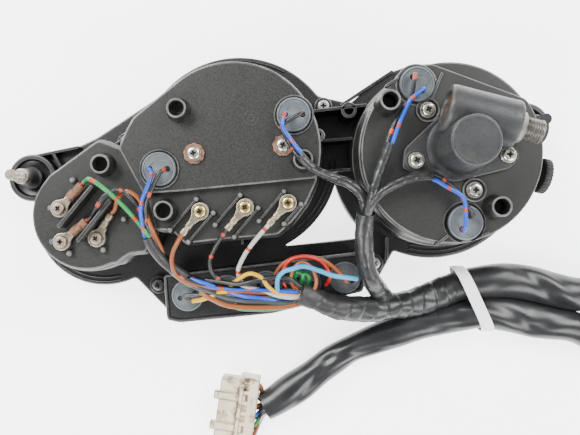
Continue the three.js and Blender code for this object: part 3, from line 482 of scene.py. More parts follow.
# Black steel for the black case screws, also put on the right stud as painted shade.
BLACK_STEEL_AND_SHADE = surface("black_screw", (0.03, 0.03, 0.032), 0.4, metal=0.7, vary=0.3, grain=2200,
    wear=(0.2, 0.2, 0.2))
PALE_STEEL = surface("pale_screw", (0.25, 0.25, 0.24), 0.45, metal=0.6, vary=0.3, grain=2200,
    second=(0.1, 0.1, 0.1), patch=400, wear=(0.5, 0.5, 0.48))
FIBRE = surface("fibre_washer", (0.18, 0.09, 0.048), 0.75, vary=0.3, grain=2500, bump=0.6,
    second=(0.078, 0.039, 0.024), patch=500, patch_at=(0.45, 0.6))
TIN = surface("tarnished_tin", (0.3, 0.26, 0.185), 0.42, metal=0.75, grain=2000, bump=0.4,
    second=(0.13, 0.11, 0.08), patch=300, patch_at=(0.5, 0.68), wear=(0.6, 0.56, 0.45))
STUD_STEEL = surface("stained_stud", (0.28, 0.255, 0.22), 0.42, metal=0.85, vary=0.3, grain=1800, bump=0.4,
    second=(0.16, 0.1, 0.06), patch=260, patch_at=(0.5, 0.65))
SPIGOT_STEEL = surface("spigot_plate", (0.2, 0.195, 0.175), 0.45, metal=0.75, vary=0.12, grain=2000, bump=0.25,
    second=(0.16, 0.15, 0.125), patch=300)
TAPE = surface("vinyl_tape", (0.0135, 0.014, 0.0145), 0.36, grain=300, bump=0.4, second=(0.022, 0.022, 0.022),
    patch_at=(0.5, 0.75), wear=(0.04, 0.04, 0.042), rough_vary=0.1, bump_mm=0.2)
WORN_TAPE = surface("worn_tape", (0.012, 0.012, 0.0125), 0.5, grain=420, bump=0.4, second=(0.0275, 0.0275, 0.0275),
    patch_at=(0.5, 0.72), bump_mm=0.15)
SLEEVE = surface("pvc_sleeve", (0.0105, 0.011, 0.012), 0.33, vary=0.15, grain=90, second=(0.017, 0.017, 0.0175),
    patch_at=(0.5, 0.8), rough_vary=0.07, bump_mm=0.3)
# The nylon's dark brown patches and its dark brown edge colour are partly dirt and partly painted shade.
NYLON = surface("aged_nylon", (0.62, 0.53, 0.38), 0.45, vary=0.12, grain=900, second=(0.11, 0.065, 0.03), patch=130,
    patch_at=(0.5, 0.64), wear=(0.07, 0.04, 0.022))
TIE_WHITE = surface("white_tie", (0.93, 0.93, 0.92), 0.4, vary=0.04, grain=700, bump=0.15)
ALLOY = surface("bare_alloy", (0.55, 0.56, 0.57), 0.35, metal=1, vary=0.12, bump=0.2, streak=(1, 6, 1))
MAGNET = surface("sintered_magnet", (0.12, 0.12, 0.125), 0.5, metal=0.8, vary=0.2)
DIAL = surface("dial_print", (0.006, 0.006, 0.0065), 0.6, vary=0.1, grain=2500, bump=0.1)
PRINT = surface("white_print", (0.8, 0.8, 0.78), 0.5, vary=0.04, grain=2500, bump=0.05)
RED_PRINT = surface("red_print", (0.65, 0.03, 0.02), 0.5, vary=0.06, grain=2500, bump=0.05)
NEEDLE = surface("needle_paint", (0.75, 0.13, 0.03), 0.4, vary=0.06, bump=0.05)
DRUM_WHITE = surface("drum_white", (0.75, 0.75, 0.72), 0.5, vary=0.1, bump=0.05)


def lead_colour(name, color):
    return surface("lead_" + name, color, 0.36, vary=0.12, grain=700, bump=0.12, rough_vary=0.06)


LEAD = {
    "blue": lead_colour("blue", (0.008, 0.058, 0.37)),
    "sky": lead_colour("sky", (0.03, 0.26, 0.47)),
    "black": lead_colour("black", (0.011, 0.011, 0.012)),
    "grey": lead_colour("grey", (0.25, 0.25, 0.235)),
    "slate": lead_colour("slate", (0.033, 0.036, 0.039)),
    "brown": lead_colour("brown", (0.21, 0.058, 0.014)),
    "yellow": lead_colour("yellow", (0.55, 0.3, 0.004)),
    "red": lead_colour("red", (0.38, 0.014, 0.008)),
    "green": lead_colour("green", (0.012, 0.19, 0.045)),
    "band": lead_colour("band", (0.32, 0.035, 0.01)),
    "white": lead_colour("white", (0.38, 0.38, 0.36)),
}


LENS, shader, put = new_material("clear_lens")
smear = put("MapRange", "Result", {"Value": put("TexNoise", "Fac", {"Scale": 120}), "To Min": 0.018,
    "To Max": 0.042})
fill(shader, {"Base Color": (0.97, 0.98, 0.98, 1), "Transmission Weight": 1.0, "IOR": 1.45, "Roughness": smear})


# ---- The sleeved lead: sleeve, tie and connector ----
SLEEVE_R = 8.5
SLEEVE_ROUTE = route("""94.4 -43.2 9.6, 101 -40.6 9.8, 111 -38.8 9.8, 126 -37.6 9.8, 144 -40.2 8.6, 160 -44.5 8.6,
    174 -46.5 8.6, 187 -43 8.6, 201 -34.5 8.6, 214 -26 8.6, 228 -23 8.6, 245.5 -27.7 8.6, 258.3 -40.5 8.6,
    263 -58 8.6, 258.3 -75.5 8.6, 245.5 -88.3 8.6, 228 -93 8.6, 213 -90.5 8.6, 200 -83 8.6, 187 -74.5 8.6,
    174 -68 8.6, 158 -62.8 8.6, 140 -59 8.6, 125 -57 9.8, 111 -58 9.8, 100 -59.8 8.6, 89 -61.8 8.6, 73 -65 8.6,
    54 -71.5 8.6, 36 -80 8.6, 20 -90 8.6, 6 -100 8.6, -3 -106 8.6, -9 -110 8.6, -14.8 -113 8.6""")
sleeve_line, sleeve_far = spline(SLEEVE_ROUTE, 2.0)
WHOLE = float(sleeve_far[-1])
# Swells and dents: distance, angle (pi is the outer side), half-width, depth and how closely it keeps to its angle.
SWELLS = [
    (58, 0, 40, 0.17, 1.5), (20, 0, 18, 0.1, 1.5), (112, 0, 26, 0.14, 1.5), (WHOLE - 172, 0, 40, 0.17, 1.5),
    (WHOLE - 138, 0, 18, 0.1, 1.5), (WHOLE - 212, 0, 26, 0.14, 1.5), (50, 3.1, 26, 0.26, 1),
    (80, 3.3, 18, 0.16, 1.3), (WHOLE - 170, 3.1, 24, 0.42, 1), (WHOLE - 142, 3.4, 8, -0.12, 2),
    (WHOLE - 24, 3.1, 14, 0.22, 1.4), (WHOLE - 18, 0.1, 15, 0.2, 1.4), (WHOLE - 62, 3.3, 9, -0.16, 2),
    (WHOLE - 48, 0, 10, 0.12, 2), (WHOLE - 92, 3.1, 14, 0.12, 1.5), (WHOLE - 30, 4.5, 12, -0.16, 2),
    (WHOLE - 75, 4.9, 14, -0.12, 2),
    *((float(s), float(a), float(w), -0.12, 3.0) for s, a, w in zip(rng.uniform(100, 380, 12),
    rng.uniform(0, TAU, 12), rng.uniform(5, 13, 12))),
]
# Folds run slantwise over the upper side: distance, slant, half-width and depth.
FOLDS = [
    (54, 13, 6, -0.1), (68, 15, 6.5, 0.09), (84, -13, 7, -0.08), (WHOLE - 160, 15, 7, -0.12),
    (WHOLE - 146, 16, 7, 0.09), (WHOLE - 182, -12, 7, -0.08), (WHOLE - 60, 20, 8, -0.1),
    (WHOLE - 36, -20, 8, -0.09), (WHOLE - 108, 18, 8, -0.06), (30, -10, 5, -0.04),
]


def sleeve_radius(a, s, whole):
    """A soft tube: long shallow swells, folds where it is bent, and a flattened mouth."""
    r = 1 + 0.03 * np.sin(s / 21 + 1.3 * np.sin(a + s / 47)) + 0.025 * np.cos(2 * a + s / 33)
    for at, turn, width, depth, keep in SWELLS:
        r = r + depth * np.exp(-(((s - at) / width) ** 2)) * np.exp(keep * (np.cos(a - turn) - 1))
    top = np.mod(a + math.pi / 2 + math.pi, TAU) - math.pi
    for at, slant, width, depth in FOLDS:
        r = r + depth * np.exp(-(((s - at - slant * top) / width) ** 2)) * np.exp(-((top / 1.0) ** 4))
    return SLEEVE_R * np.clip(r, 0.72, 1.42) * (1 - 0.04 * math.exp(-s / 6))


sleeve = Builder().tube(SLEEVE_ROUTE, sleeve_radius, spacing=0.9, sides=56, floor=0.1, hollow=8).made("sleeve",
    SLEEVE, stands_for="harness_sleeve", slot="pvc_sleeve", smooth=70)

TIE = {"x": 108.5, "y": -48.5, "z": 9.8, "width": 7.6, "half": 9.8, "lean": -0.46}
tie = Builder()
band = np.array([(side * TIE["half"] + 9.15 * math.cos(turn), 9.15 * math.sin(turn)) for side in (1, -1)
    for turn in np.linspace(-math.pi / 2, math.pi / 2, 25) + (0 if side > 0 else math.pi)])
band = resampled(band, 1.2)
normal = outward(band)


def tie_ring(across, out):
    flat = band + normal * out
    x = TIE["x"] + across + TIE["lean"] * flat[:, 0]
    return tie.ring(np.c_[x, TIE["y"] + flat[:, 0], np.maximum(TIE["z"] + flat[:, 1], 0.1)] + SHIFT)


half = TIE["width"] / 2
loop = [
    tie_ring(-half, 0), tie_ring(-half, 0.7), tie_ring(-half + 0.4, 0.85), tie_ring(half - 0.4, 0.85),
    tie_ring(half, 0.7), tie_ring(half, 0),
]
for one, two in zip(loop, loop[1:] + loop[:1]):
    tie.side(one, two)
flag = rectangle(119.6, -66.5, 6.4, 6.2, -0.1, 0.5, 0.5)
tie.plate(flag, [(0.2, 0.3), (0, 0.5), (0, 1.1), (0.2, 1.3)])
tie_band = tie.made("tie", TIE_WHITE, stands_for="tie_band", slot="tie_white")

# Connector: wire-side block, mating shroud with its cavity, latch hooks and the leads that enter it.
PLUG = {"x": -20.5, "y": -117, "turn": math.pi - 0.145, "length": 42, "height": 15, "block": 12, "shroud": 11}


def on_plug(along, across):
    c, s = math.cos(PLUG["turn"]), math.sin(PLUG["turn"])
    return PLUG["x"] + along * c - across * s, PLUG["y"] + along * s + across * c


def plug_slab(b, low, high, across_low, across_high, z0, z1, corner=1.0, holes=(), soft=0.5):
    x, y = on_plug((low + high) / 2, (across_low + across_high) / 2)
    outline = rectangle(x, y, high - low, across_high - across_low, PLUG["turn"], corner, 0.5)
    return b.plate(outline, edged(z0, z1, soft, 1.0, 0.3), from_top=holes)


connector = Builder()
reach, tall = PLUG["length"] / 2, PLUG["height"]
plug_slab(connector, 0, PLUG["block"], -reach, reach, 0.2, tall,
    holes=[(rectangle(*on_plug(7.4, across), 3.2, 4.2, PLUG["turn"], 0.3, 0.3),
    [(0.2, tall), (0, tall - 0.3), (0, tall - 2)]) for across in (-15.5, -9.3, -3.1, 3.1, 9.3, 15.5)])
inner, end = PLUG["block"] - 1, PLUG["block"] + PLUG["shroud"]
plug_slab(connector, inner, end, -reach + 2, reach - 2, 1.5, 3.1, soft=0.3)
plug_slab(connector, inner, end, -reach + 2, reach - 2, tall - 3.1, tall - 1.5, soft=0.4)
for side in (-1, 1):
    low, high = sorted((side * (reach - 2), side * (reach - 3.8)))
    plug_slab(connector, inner, end, low, high, 2.9, tall - 2.9, 0.3, soft=0.2)
for across in (-9, 9):
    plug_slab(connector, PLUG["block"] - 5, end + 2, across - 2.4, across + 2.4, tall - 1.9, tall - 0.1, 0.6)
    plug_slab(connector, end, end + 3, across - 2.4, across + 2.4, tall - 3.6, tall, 0.6)
plug_slab(connector, PLUG["block"] - 3.2, PLUG["block"] - 0.6, -reach - 0.1, reach + 0.1, tall - 0.6, tall + 0.4,
    0.5, soft=0.3)
connector_body = connector.made("connector_shell", NYLON, stands_for="connector", slot="connector_nylon")

tails = Builder()
TAILS = ["brown", "black", "white", "slate", "brown", "black", "blue", "slate", "green", "black", "brown", "white"]
for k in range(12):
    across = -17 + 3.1 * k
    x, y = on_plug(1.5, across)
    fan_y = (k - 5.5) * 0.75
    mouth = (-15.2 + 0.2 * (k % 3), -113.4 - 0.9 * fan_y, 8.6 + (3.2 if k % 2 else -3.0) * math.cos(fan_y / 5))
    start = (x, y, 4.6 if k % 2 else 10.6)
    middle = (
        x * 0.55 + mouth[0] * 0.45 + 1.4, y * 0.45 + mouth[1] * 0.55, (start[2] + mouth[2]) / 2
        + rng.uniform(-0.8, 0.8),
    )
    tails.paint = k
    tails.tube([start, (x + 1.5, y, start[2]), middle, mouth, (mouth[0] + 3, mouth[1], mouth[2])], 1.15, 1.0, 10)
tail_leads = tails.made("connector_tails", [LEAD[c] for c in TAILS])

# ---- Outlines of the cases ----
RIM, TRAY_TOP, EAR_TOP, LUG_TOP = 40, 31, 20, 16
TEMP_DECK, TERMINAL_DECK, TACH_DECK, SPEEDO_DECK = 46, 50, 54, 63
SPEEDO = {"x": 83.3, "y": 33.6, "r": 57.6, "window": 48, "hole": 45}
TACH = {"x": -30, "y": 36, "r": 59, "window": 48, "hole": 44}
TEMP = {"x": -110, "y": 1, "r": 41, "window": 30, "hole": 27}
PODS = (SPEEDO, TACH, TEMP)
SPINDLE = (86, 35.8)
CASE_SCREWS = [(-77.1, -39.4), (-96.3, 44.6), (19.6, 65.3), (49.5, -26.8)]
FRAME_SCREWS = [(70.6, 55.1), (94.5, 14)]
EARS, EAR_R = {"left": (-150, 23), "right": (137.5, 53)}, 13.75
TRAY = {"x": -13.2, "y": -38.6, "turn": 0.1127, "pitch": 22.2}
TRAY_FLANGE = [
    (-97.2, -35.6), (-91.4, -35.6), (-68.8, -58.7), (-63, -61), (-9.8, -54.7), (50.3, -39.6), (60.7, -21.1),
    (66, -8), (46, -12), (-2.3, -17.2), (-40, 0), (-90, -5), (-110, -20),
]
LEFT_SHOULDER = [(-125, 42.4), (-145, -4), (-100, -10), (-60, 40), (-66.7, 79), (-114.8, 47.2)]
TOP_WEB = [(12.2, 73), (0, 40), (16, 24), (27, 21), (38, 24), (60, 40), (46.5, 76.5), (35.5, 67.8)]
LEFT_ARM = [(-153.5, 36.3), (-155, 10.5), (-147, 9.5), (-120, 5), (-115, 40), (-125, 42.4)]
RIGHT_ARM = [(97.6, 88), (90, 50), (120, 18), (146, 42.4), (143.5, 65.1), (124, 74)]
TRAY_BOX = [(-71, -33), (-69, -57.5), (-62, -58.9), (-10, -53.7), (41, -41.3), (41.5, -23), (39, -20)]
TERMINAL_FIELD = [
    (-72, -6.7), (-63, -7.2), (-56, -14.1), (-30.4, -11.2), (-6.4, -9.3), (1.6, -1.9), (9, 8), (14.8, 20.3),
    (10, 30), (-60, 30), (-78, 20),
]
TEMP_FIELD = [
    (-94.5, -25.1), (-86.4, -19.2), (-77.8, -18.6), (-73, -7), (-66, 5), (-80, 34), (-90.7, 36.6), (-103.7, 41.8),
    (-130.4, 22.4), (-138.2, 10), (-125, -10),
]
TACH_R, TEMP_R = 46.5, 29.1
sweep = np.linspace(-0.337, 2.27, 40)
TACH_TOP = [
    *zip(TACH["x"] + TACH_R * np.cos(sweep), TACH["y"] + TACH_R * np.sin(sweep)), (-82.8, 53), (-86.4, 46.7),
    (-90.7, 36.6), (-77.5, 12.4), (-57.5, 13.7),
]


def disc(g, r):
    return circle(g["x"], g["y"], r, 160)


outlines = [*(disc(g, g["r"]) for g in PODS), TRAY_FLANGE, LEFT_SHOULDER, TOP_WEB]
footprint = merged(*outlines)
skirt, web_gap = softened(footprint[0]), softened(footprint[1])[::-1]
if signed_area(web_gap) < 0:
    web_gap = web_gap[::-1]
flange = softened(merged(*outlines, LEFT_ARM, RIGHT_ARM, circle(*EARS["left"], EAR_R),
    circle(*EARS["right"], EAR_R))[0])
case_wall = softened(merged(disc(TACH, TACH_R), disc(TEMP, TEMP_R), TACH_TOP, TERMINAL_FIELD, TEMP_FIELD)[0])
tach_deck = softened(TACH_TOP, 0.8, 5)
terminal_deck = softened(merged(TACH_TOP, TERMINAL_FIELD)[0], 0.8, 3)
strip = rectangle(TRAY["x"], TRAY["y"], 100, 11, TRAY["turn"], 1.5, 0.8)

# ---- Bezel, flange and housing ----
LIP, BEZEL_TOP, FLANGE_BOTTOM, FOOT, FLANGE_TOP = 3, 9, 9.3, 12.8, 13
window_path = [(2.2, 0), (0.9, 0.35, 0.6), (0.2, 1.2), (0, 1.8), (0, LIP), (2.3, LIP), (2.3, BEZEL_TOP)]
Builder().plate(skirt, [(1.5, 0), (0.9, 0.2), (0.35, 0.8, 0.5), (0, 2), (0, 7.6), (0.35, 8.6, 0.8),
    (0.9, BEZEL_TOP, 0.6), (1.3, BEZEL_TOP)], through=[*((disc(g, g["window"]), window_path) for g in PODS),
    (strip, window_path),
    (web_gap, [(1.2, 0), (0.4, 0.4), (0, 1.4), (0, 8.2), (0.4, 8.8), (0.8, BEZEL_TOP)])]).made("bezel", WALL,
    stands_for="front_bezel", slot="bezel_plastic")

lamp_places = [
    (TRAY["x"] + (i - 2) * TRAY["pitch"] * math.cos(TRAY["turn"]),
    TRAY["y"] + (i - 2) * TRAY["pitch"] * math.sin(TRAY["turn"])) for i in range(5)
]
WINDOW_BAR, LAMP_COLORS = (5.9, 7.6), {"green": (0.01, 0.12, 0.03), "blue": (0.01, 0.03, 0.2),
    "amber": (0.3, 0.1, 0.005), "red": (0.25, 0.008, 0.005)}
b = Builder()
b.plate(grown(strip, -0.35), [(0.2, WINDOW_BAR[0]), (0, WINDOW_BAR[0] + 0.2), (0, WINDOW_BAR[1])])
for i, (x, y) in enumerate(lamp_places):
    b.paint = 1 + (0, 1, 2, 3, 0)[i]
    b.plate(rectangle(x, y, 13, 6.4, TRAY["turn"], 1.2, 0.5),
        [(0.35, WINDOW_BAR[0] - 0.45), (0.1, WINDOW_BAR[0] - 0.3), (0, WINDOW_BAR[0] + 0.3)])
b.made("lamp_windows",
    [RUBBER, *(surface(name + "_window", color, 0.22, grain=500, bump=0.03, coat=0.5)
    for name, color in LAMP_COLORS.items())])

housing = Builder()
hole_path = [(0, FLANGE_BOTTOM), (0, FLANGE_TOP)]
housing.plate(flange, [(0.5, FLANGE_BOTTOM), (0, FLANGE_BOTTOM + 0.5), (0, FLANGE_TOP - 0.8),
    (0.25, FLANGE_TOP - 0.25, 1), (0.8, FLANGE_TOP, 0.7), (1.2, FLANGE_TOP)],
    through=[*((disc(g, g["hole"]), hole_path) for g in PODS), (grown(strip, -0.5), hole_path),
    (web_gap, [(0.4, FLANGE_BOTTOM), (0, FLANGE_BOTTOM + 0.4), (0, FLANGE_TOP - 0.6), (0.5, FLANGE_TOP, 0.6),
    (0.9, FLANGE_TOP)])])
WALL_PROFILE = [
    (-1.2, FOOT), (-1.5, 15), (-1.5, 27), (-1.9, 28, 0.5), (-1.9, 30), (-1.5, 31), (-1.5, RIM - 0.6),
    (-1.2, RIM - 0.1, 0.9), (-0.7, RIM, 0.5), (-0.4, RIM),
]
housing.plate(case_wall, WALL_PROFILE, through=[(grown(case_wall, -0.7), [(0, FOOT), (0, RIM)])])
housing.plate(disc(SPEEDO, 48), [(-1, FOOT), (-1.3, 15), (-1.3, 26), (-1.8, 27, 0.5), (-1.8, 29.5), (-1.3, 30.5),
    (-1.3, RIM - 0.6), (-1, RIM - 0.1, 0.9), (-0.6, RIM)], through=[(disc(SPEEDO, 47.1), [(0, FOOT), (0, RIM)])])
tray_loop = softened(TRAY_BOX, 0.8, 3)
housing.plate(tray_loop, [(-0.3, FOOT), (0, 14), (0, TRAY_TOP - 5.8), (-0.5, TRAY_TOP - 5), (-0.5, TRAY_TOP - 0.7),
    (-0.2, TRAY_TOP - 0.1, 1), (0.3, TRAY_TOP, 1), (1.2, TRAY_TOP, 0.2), (1.5, TRAY_TOP - 0.8),
    (1.9, TRAY_TOP - 0.8)])
for side, (x, y) in EARS.items():
    housing.plate(circle(x, y, EAR_R), edged(FOOT, EAR_TOP, 0.9),
        from_top=[(circle(x, y, 10.6), [(0.5, EAR_TOP, 0.8), (0, EAR_TOP - 0.5), (-0.4, EAR_TOP - 2.2),
        (-0.9, EAR_TOP - 2.5)])])
for x, y in CASE_SCREWS:
    housing.plate(circle(x, y, 5.4, 48), edged(FOOT, LUG_TOP, 0.5))
WEB_RIBS = [
    ((13.4, 59.6), (42.5, 63), 34), ((17, 43.3), (38, 45), 30), ((17, 26), (39, 27.7), 30),
    ((56, -12), (55.5, -24), 24), ((-152, 35.2), (-124, 41), 19), ((-153, 10.8), (-128, 6.4), 19),
    ((-138, 36.5), (-131, 24), 18.5), ((-137.5, 10.5), (-131, 22), 18), ((60, 86), (30.5, 66.5), 15.4),
    ((-96, 34.5), (-84, 46), 26), ((-104, 41.2), (-92, 50.6), 18), ((124, 72.6), (99, 85.5), 19),
    ((142.5, 64.5), (126, 72), 19),
]
for a, b, top in WEB_RIBS:
    housing.plate(stadium(a, b, 1.8), edged(FOOT, top, 0.4))
for x in (-48, -26.5, -6.5, 6):
    y = TACH["y"] - math.sqrt(TACH_R ** 2 - (x - TACH["x"]) ** 2) - 1.6
    housing.plate(stadium((x, y + 1.5), (x + 0.1, y - 2.2), 1.4), edged(FOOT, RIM - 3, 0.3))


def arc_ridge(g, r, start, stop, low, high, width=0.9):
    """A low ridge round a pod, between two angles in degrees."""
    turns = np.radians(np.linspace(start, stop, max(8, int(abs(stop - start) / 2))))
    out = [
        (g["x"] + d * math.cos(t), g["y"] + d * math.sin(t)) for d, row in ((r + width / 2, turns),
        (r - width / 2, turns[::-1])) for t in row
    ]
    housing.plate(softened(out, 0.45, 2), [(0, low), (0, high - 0.25), (0.12, high - 0.08, 0.5), (0.28, high, 0.3)])


for r, high in ((50.9, 14.6), (53.3, 14), (55.8, 13.7)):
    arc_ridge(SPEEDO, r, -104, 52, FOOT, high)
for r, high in ((54, 14.2), (56.6, 13.8)):
    arc_ridge(TACH, r, -52, -3, FOOT, high)
    arc_ridge(TACH, r, 62, 100, FOOT, high)
for r, high in ((36.4, 14.2), (38.8, 13.8)):
    arc_ridge(TEMP, r, -135, -75, FOOT, high)
BOSS = (33, 60.1)
housing.plate(circle(*BOSS, 4.5, 48), edged(FOOT, 34, 0.4),
    from_top=[(circle(*BOSS, 2.5, 32), [(0.3, 34, 1), (0, 33.7), (0, 24)])])
housing.made("housing", WALL, stands_for="main_housing", slot="case_plastic")

# ---- Rear cases ----
TERMINALS = [
    (-47.6, 3.2, TERMINAL_DECK, -2.214), (-23.8, 5.4, TERMINAL_DECK, -2.244), (-1.1, 7.7, TERMINAL_DECK, -2.291),
    (-123.6, 4.8, TEMP_DECK, 0.772), (-122.4, -13, TEMP_DECK, 0.666), (-103.6, -11.2, TEMP_DECK, 1.016),
]
TACH_TUBES = [
    (-58.7, 56.4, TACH_DECK, 8), (6.8, 30.1, TACH_DECK, 8), (-66, 3.6, TERMINAL_DECK, 9),
    (-100.1, 28.2, TEMP_DECK, 9),
]
SPEEDO_TUBES = [(49.4, 57.9, SPEEDO_DECK, 14), (104.9, 5.4, SPEEDO_DECK, 12)]
TACH_SCREWS = [(-50.5, 33.6), (-3.6, 37.9)]


def add_tube(b, x, y, deck, height):
    b.turn([(0, -1), (6.6, -1), (6.4, 0.4), (5.7, 1.5), (5.3, 3), (5.2, height - 0.5), (5.05, height - 0.12, 1),
        (4.7, height, 1), (4.25, height, 1), (3.95, height - 0.25), (3.85, height - 1.5), (3.7, 0.8), (0, 0.6)],
        (x, y, deck))


def lamp_ring(b, x, y, deck, r=9.9):
    b.turn([(r - 0.5, -1), (r + 0.9, -1), (r + 0.8, 0.6), (r + 0.5, 1, 1), (r, 1, 0.6), (r - 0.4, 0.7),
        (r - 0.5, -0.5)], (x, y, deck), closed=True)


case = Builder()
case.plate(grown(case_wall, 0.2), [(-0.5, RIM + 0.3), (-0.9, RIM + 0.8, 0.6), (-0.9, RIM + 1.8), (-0.3, RIM + 2.6),
    (0, RIM + 3), *edged(0, TEMP_DECK, 0.9)[2:]],
    from_below=[(grown(case_wall, -2), [(0, RIM + 0.3), (0, TEMP_DECK - 2.4)])])
case.plate(terminal_deck, edged(TEMP_DECK - 0.3, TERMINAL_DECK, 0.9))
case.plate(tach_deck, edged(TERMINAL_DECK - 0.3, TACH_DECK, 0.9))
for tube in TACH_TUBES:
    add_tube(case, *tube)
lamp_ring(case, -68.8, 25.4, TACH_DECK)
lamp_ring(case, 1.9, 54, TACH_DECK)
GUIDES = [
    ((-49.5, 9.7), (-63.2, -6.6)), ((-40.5, 2.4), (-53.7, -12.9)), ((-26.3, 11.8), (-39.5, -3.9)),
    ((-16.8, 5), (-29.5, -10.3)), ((-3.2, 13.9), (-16.3, -1.8)), ((5.8, 7.1), (-3.2, -3.4)),
]
NUBS = [(-116.7, 20), (-128.6, 5.1), (-127.6, -12.8), (-118.5, -19.2), (-100.3, -17.3), (-89.3, -0.8)]


def add_nub(b, x, y, deck, height, r=1.5):
    b.turn([(0, -0.5), (r * 1.35, -0.5), (r * 1.1, 0.6), (r * 0.8, height - 1.6 * r), (r, height - 0.9 * r),
        (0.86 * r, height - 0.45 * r, 0.6), (0.5 * r, height - 0.1 * r, 1), (0, height, 1)], (x, y, deck),
        pieces=24)


for a, b in GUIDES:
    case.plate(stadium(a, b, 1.3), edged(TERMINAL_DECK - 0.5, TERMINAL_DECK + 3.2, 0.2, 0.35))
    for x, y in (a, b):
        add_nub(case, x, y, TERMINAL_DECK, 4.8)
for x, y in NUBS:
    add_nub(case, x, y, TEMP_DECK, 3.4, 1.7)
for a, b in [((-121.3, -4.5), (-104.3, 16)), ((-111.2, -11.9), (-94.9, 8.5))]:
    case.plate(stadium(a, b, 2.2), edged(TEMP_DECK - 0.5, TEMP_DECK + 10, 0.5, 0.4))
for x, y, deck, _ in TERMINALS:
    case.plate(circle(x, y, 4.9, 48), edged(deck - 0.5, deck + 2, 0.4))
for r in (3.4, 1.3):
    case.turn([(r, -0.3), (r + 0.35, 0.06, 0.8), (r + 0.7, -0.3)], (-20.6, 52.6, TACH_DECK), pieces=32, closed=True)
ear_boss = softened([(10.5, 44), (13.5, 40.5), (17.2, 40.6), (19.2, 43.4), (17.6, 46.6), (13, 48.5)], 0.5, 3)
case.plate(ear_boss, edged(RIM, TERMINAL_DECK + 1, 0.5),
    from_top=[(circle(14.9, 44.3, 1.6, 32), [(0.3, TERMINAL_DECK + 1, 1), (0, TERMINAL_DECK + 0.7), (0, RIM + 2)])])
case.made("tach_case", CASE, stands_for="tach_rear_case", slot="case_plastic")

speedo = Builder()
shoulder = np.array([(x, y) for x, y in disc(SPEEDO, 46.9)
    if not (x > 74 and y > 62 and y > 78.6 - 0.62 * (x - 74))])
speedo_top = softened(shoulder, 0.8, 4)
speedo.plate(disc(SPEEDO, 47.6), [(-0.8, RIM + 0.3), (-1.2, RIM + 0.9, 0.5), (-1.2, RIM + 2.2), (-0.6, RIM + 3.2),
    (-0.3, 50), *edged(0, SPEEDO_DECK - 5, 0.9)[2:]], from_below=[(disc(SPEEDO, 45), [(0, RIM + 0.3), (0, 54)])])
notched = softened(merged(shoulder, without=[circle(89.6, -2.6, 10.2)])[0], 0.7, 9)
deck_edge = [(0, SPEEDO_DECK - 1), (0.25, SPEEDO_DECK - 0.3, 1), (0.65, SPEEDO_DECK, 1), (0.9, SPEEDO_DECK)]
speedo.plate(grown(speedo_top, -0.2), edged(SPEEDO_DECK - 6, SPEEDO_DECK - 2.2, 0.5))
speedo.plate(notched, [(0, SPEEDO_DECK - 4), *deck_edge])
speedo.plate(circle(64.8, 68, 10.9, 64), edged(50, SPEEDO_DECK + 0.4, 0.7))
for a, b in [((80.5, -9.5), (75, -14)), ((98.5, -9.2), (101.5, -8)), ((55, 71), (49.5, 67.5))]:
    speedo.plate(stadium(a, b, 1.4), edged(SPEEDO_DECK - 3, SPEEDO_DECK + 1, 0.25))
speedo.plate(stadium((77.6, 73.5), (72.4, 60.5), 1.5), edged(SPEEDO_DECK - 5, SPEEDO_DECK + 1.2, 0.3))
for tube in SPEEDO_TUBES:
    add_tube(speedo, *tube)
for x, y in FRAME_SCREWS:
    lamp_ring(speedo, x, y, SPEEDO_DECK, 5.6)
speedo.made("speedo_case", CASE, stands_for="speedo_rear_case", slot="case_plastic")


# ---- Bulb holders ----
def bulb_holder(node, x, y, deck, angle=0.0, spread=4.4, finish=HOLDER_RUBBER):
    b = Builder()
    low, high = deck + 0.3, deck + 3
    dx, dy = spread * math.cos(angle), spread * math.sin(angle)
    socket = [(0.25, high - 0.2, 0.7), (0, high - 0.5), (-0.1, high - 1.9)]
    b.plate(circle(x, y, 9, 72), [(0.5, low), (0, low + 0.4), (0, high - 0.9), (0.2, high - 0.35, 0.8),
        (0.7, high, 0.8), (1.1, high), (1.35, high - 0.25), (1.6, high - 0.25), (1.8, high - 0.2, 0.5),
        (2.1, high - 0.2)], from_top=[(circle(x + s * dx, y + s * dy, 1.35, 24), socket) for s in (1, -1)])
    b.turn([(0, deck - 8), (6.6, deck - 8), (7.1, deck - 7.4), (7.1, low + 0.2), (0, low + 0.2)], (x, y, 0),
        pieces=40)
    for turn in (0.9, 2.4):
        c, s = math.cos(angle + turn), math.sin(angle + turn)
        b.plate(stadium((x + 4.6 * c - 1.4 * s, y + 4.6 * s + 1.4 * c),
            (x + 4.6 * c + 1.4 * s, y + 4.6 * s - 1.4 * c), 0.7),
            [(0, high - 0.5), (0, high - 0.1), (0.12, high, 0.7), (0.2, high)])
    b.made(node.replace("bulb_holder", "lamp_socket"), finish, stands_for=node, slot="holder_rubber")


REAR_LAMPS = {
    "tach_left": (-68.8, 25.4, TACH_DECK, 0.0, 4.6),
    "tach_right": (1.9, 54, TACH_DECK, 0.0, 4.6),
    "speedo_top": (64.8, 68, SPEEDO_DECK, -1.0, 4.2),
    "speedo_bottom": (89.6, -2.6, SPEEDO_DECK, 1.05, 4.0),
}
for name, facts in REAR_LAMPS.items():
    bulb_holder("bulb_holder_" + name, *facts)
# Tray holders after the first take the darker copy of the rubber: painted shade.
for i, (x, y) in enumerate(lamp_places):
    bulb_holder(f"bulb_holder_tray_{i + 1}", x, y, TRAY_TOP, 0.35 - 0.2 * i,
        finish=SHADED_HOLDER if i else HOLDER_RUBBER)


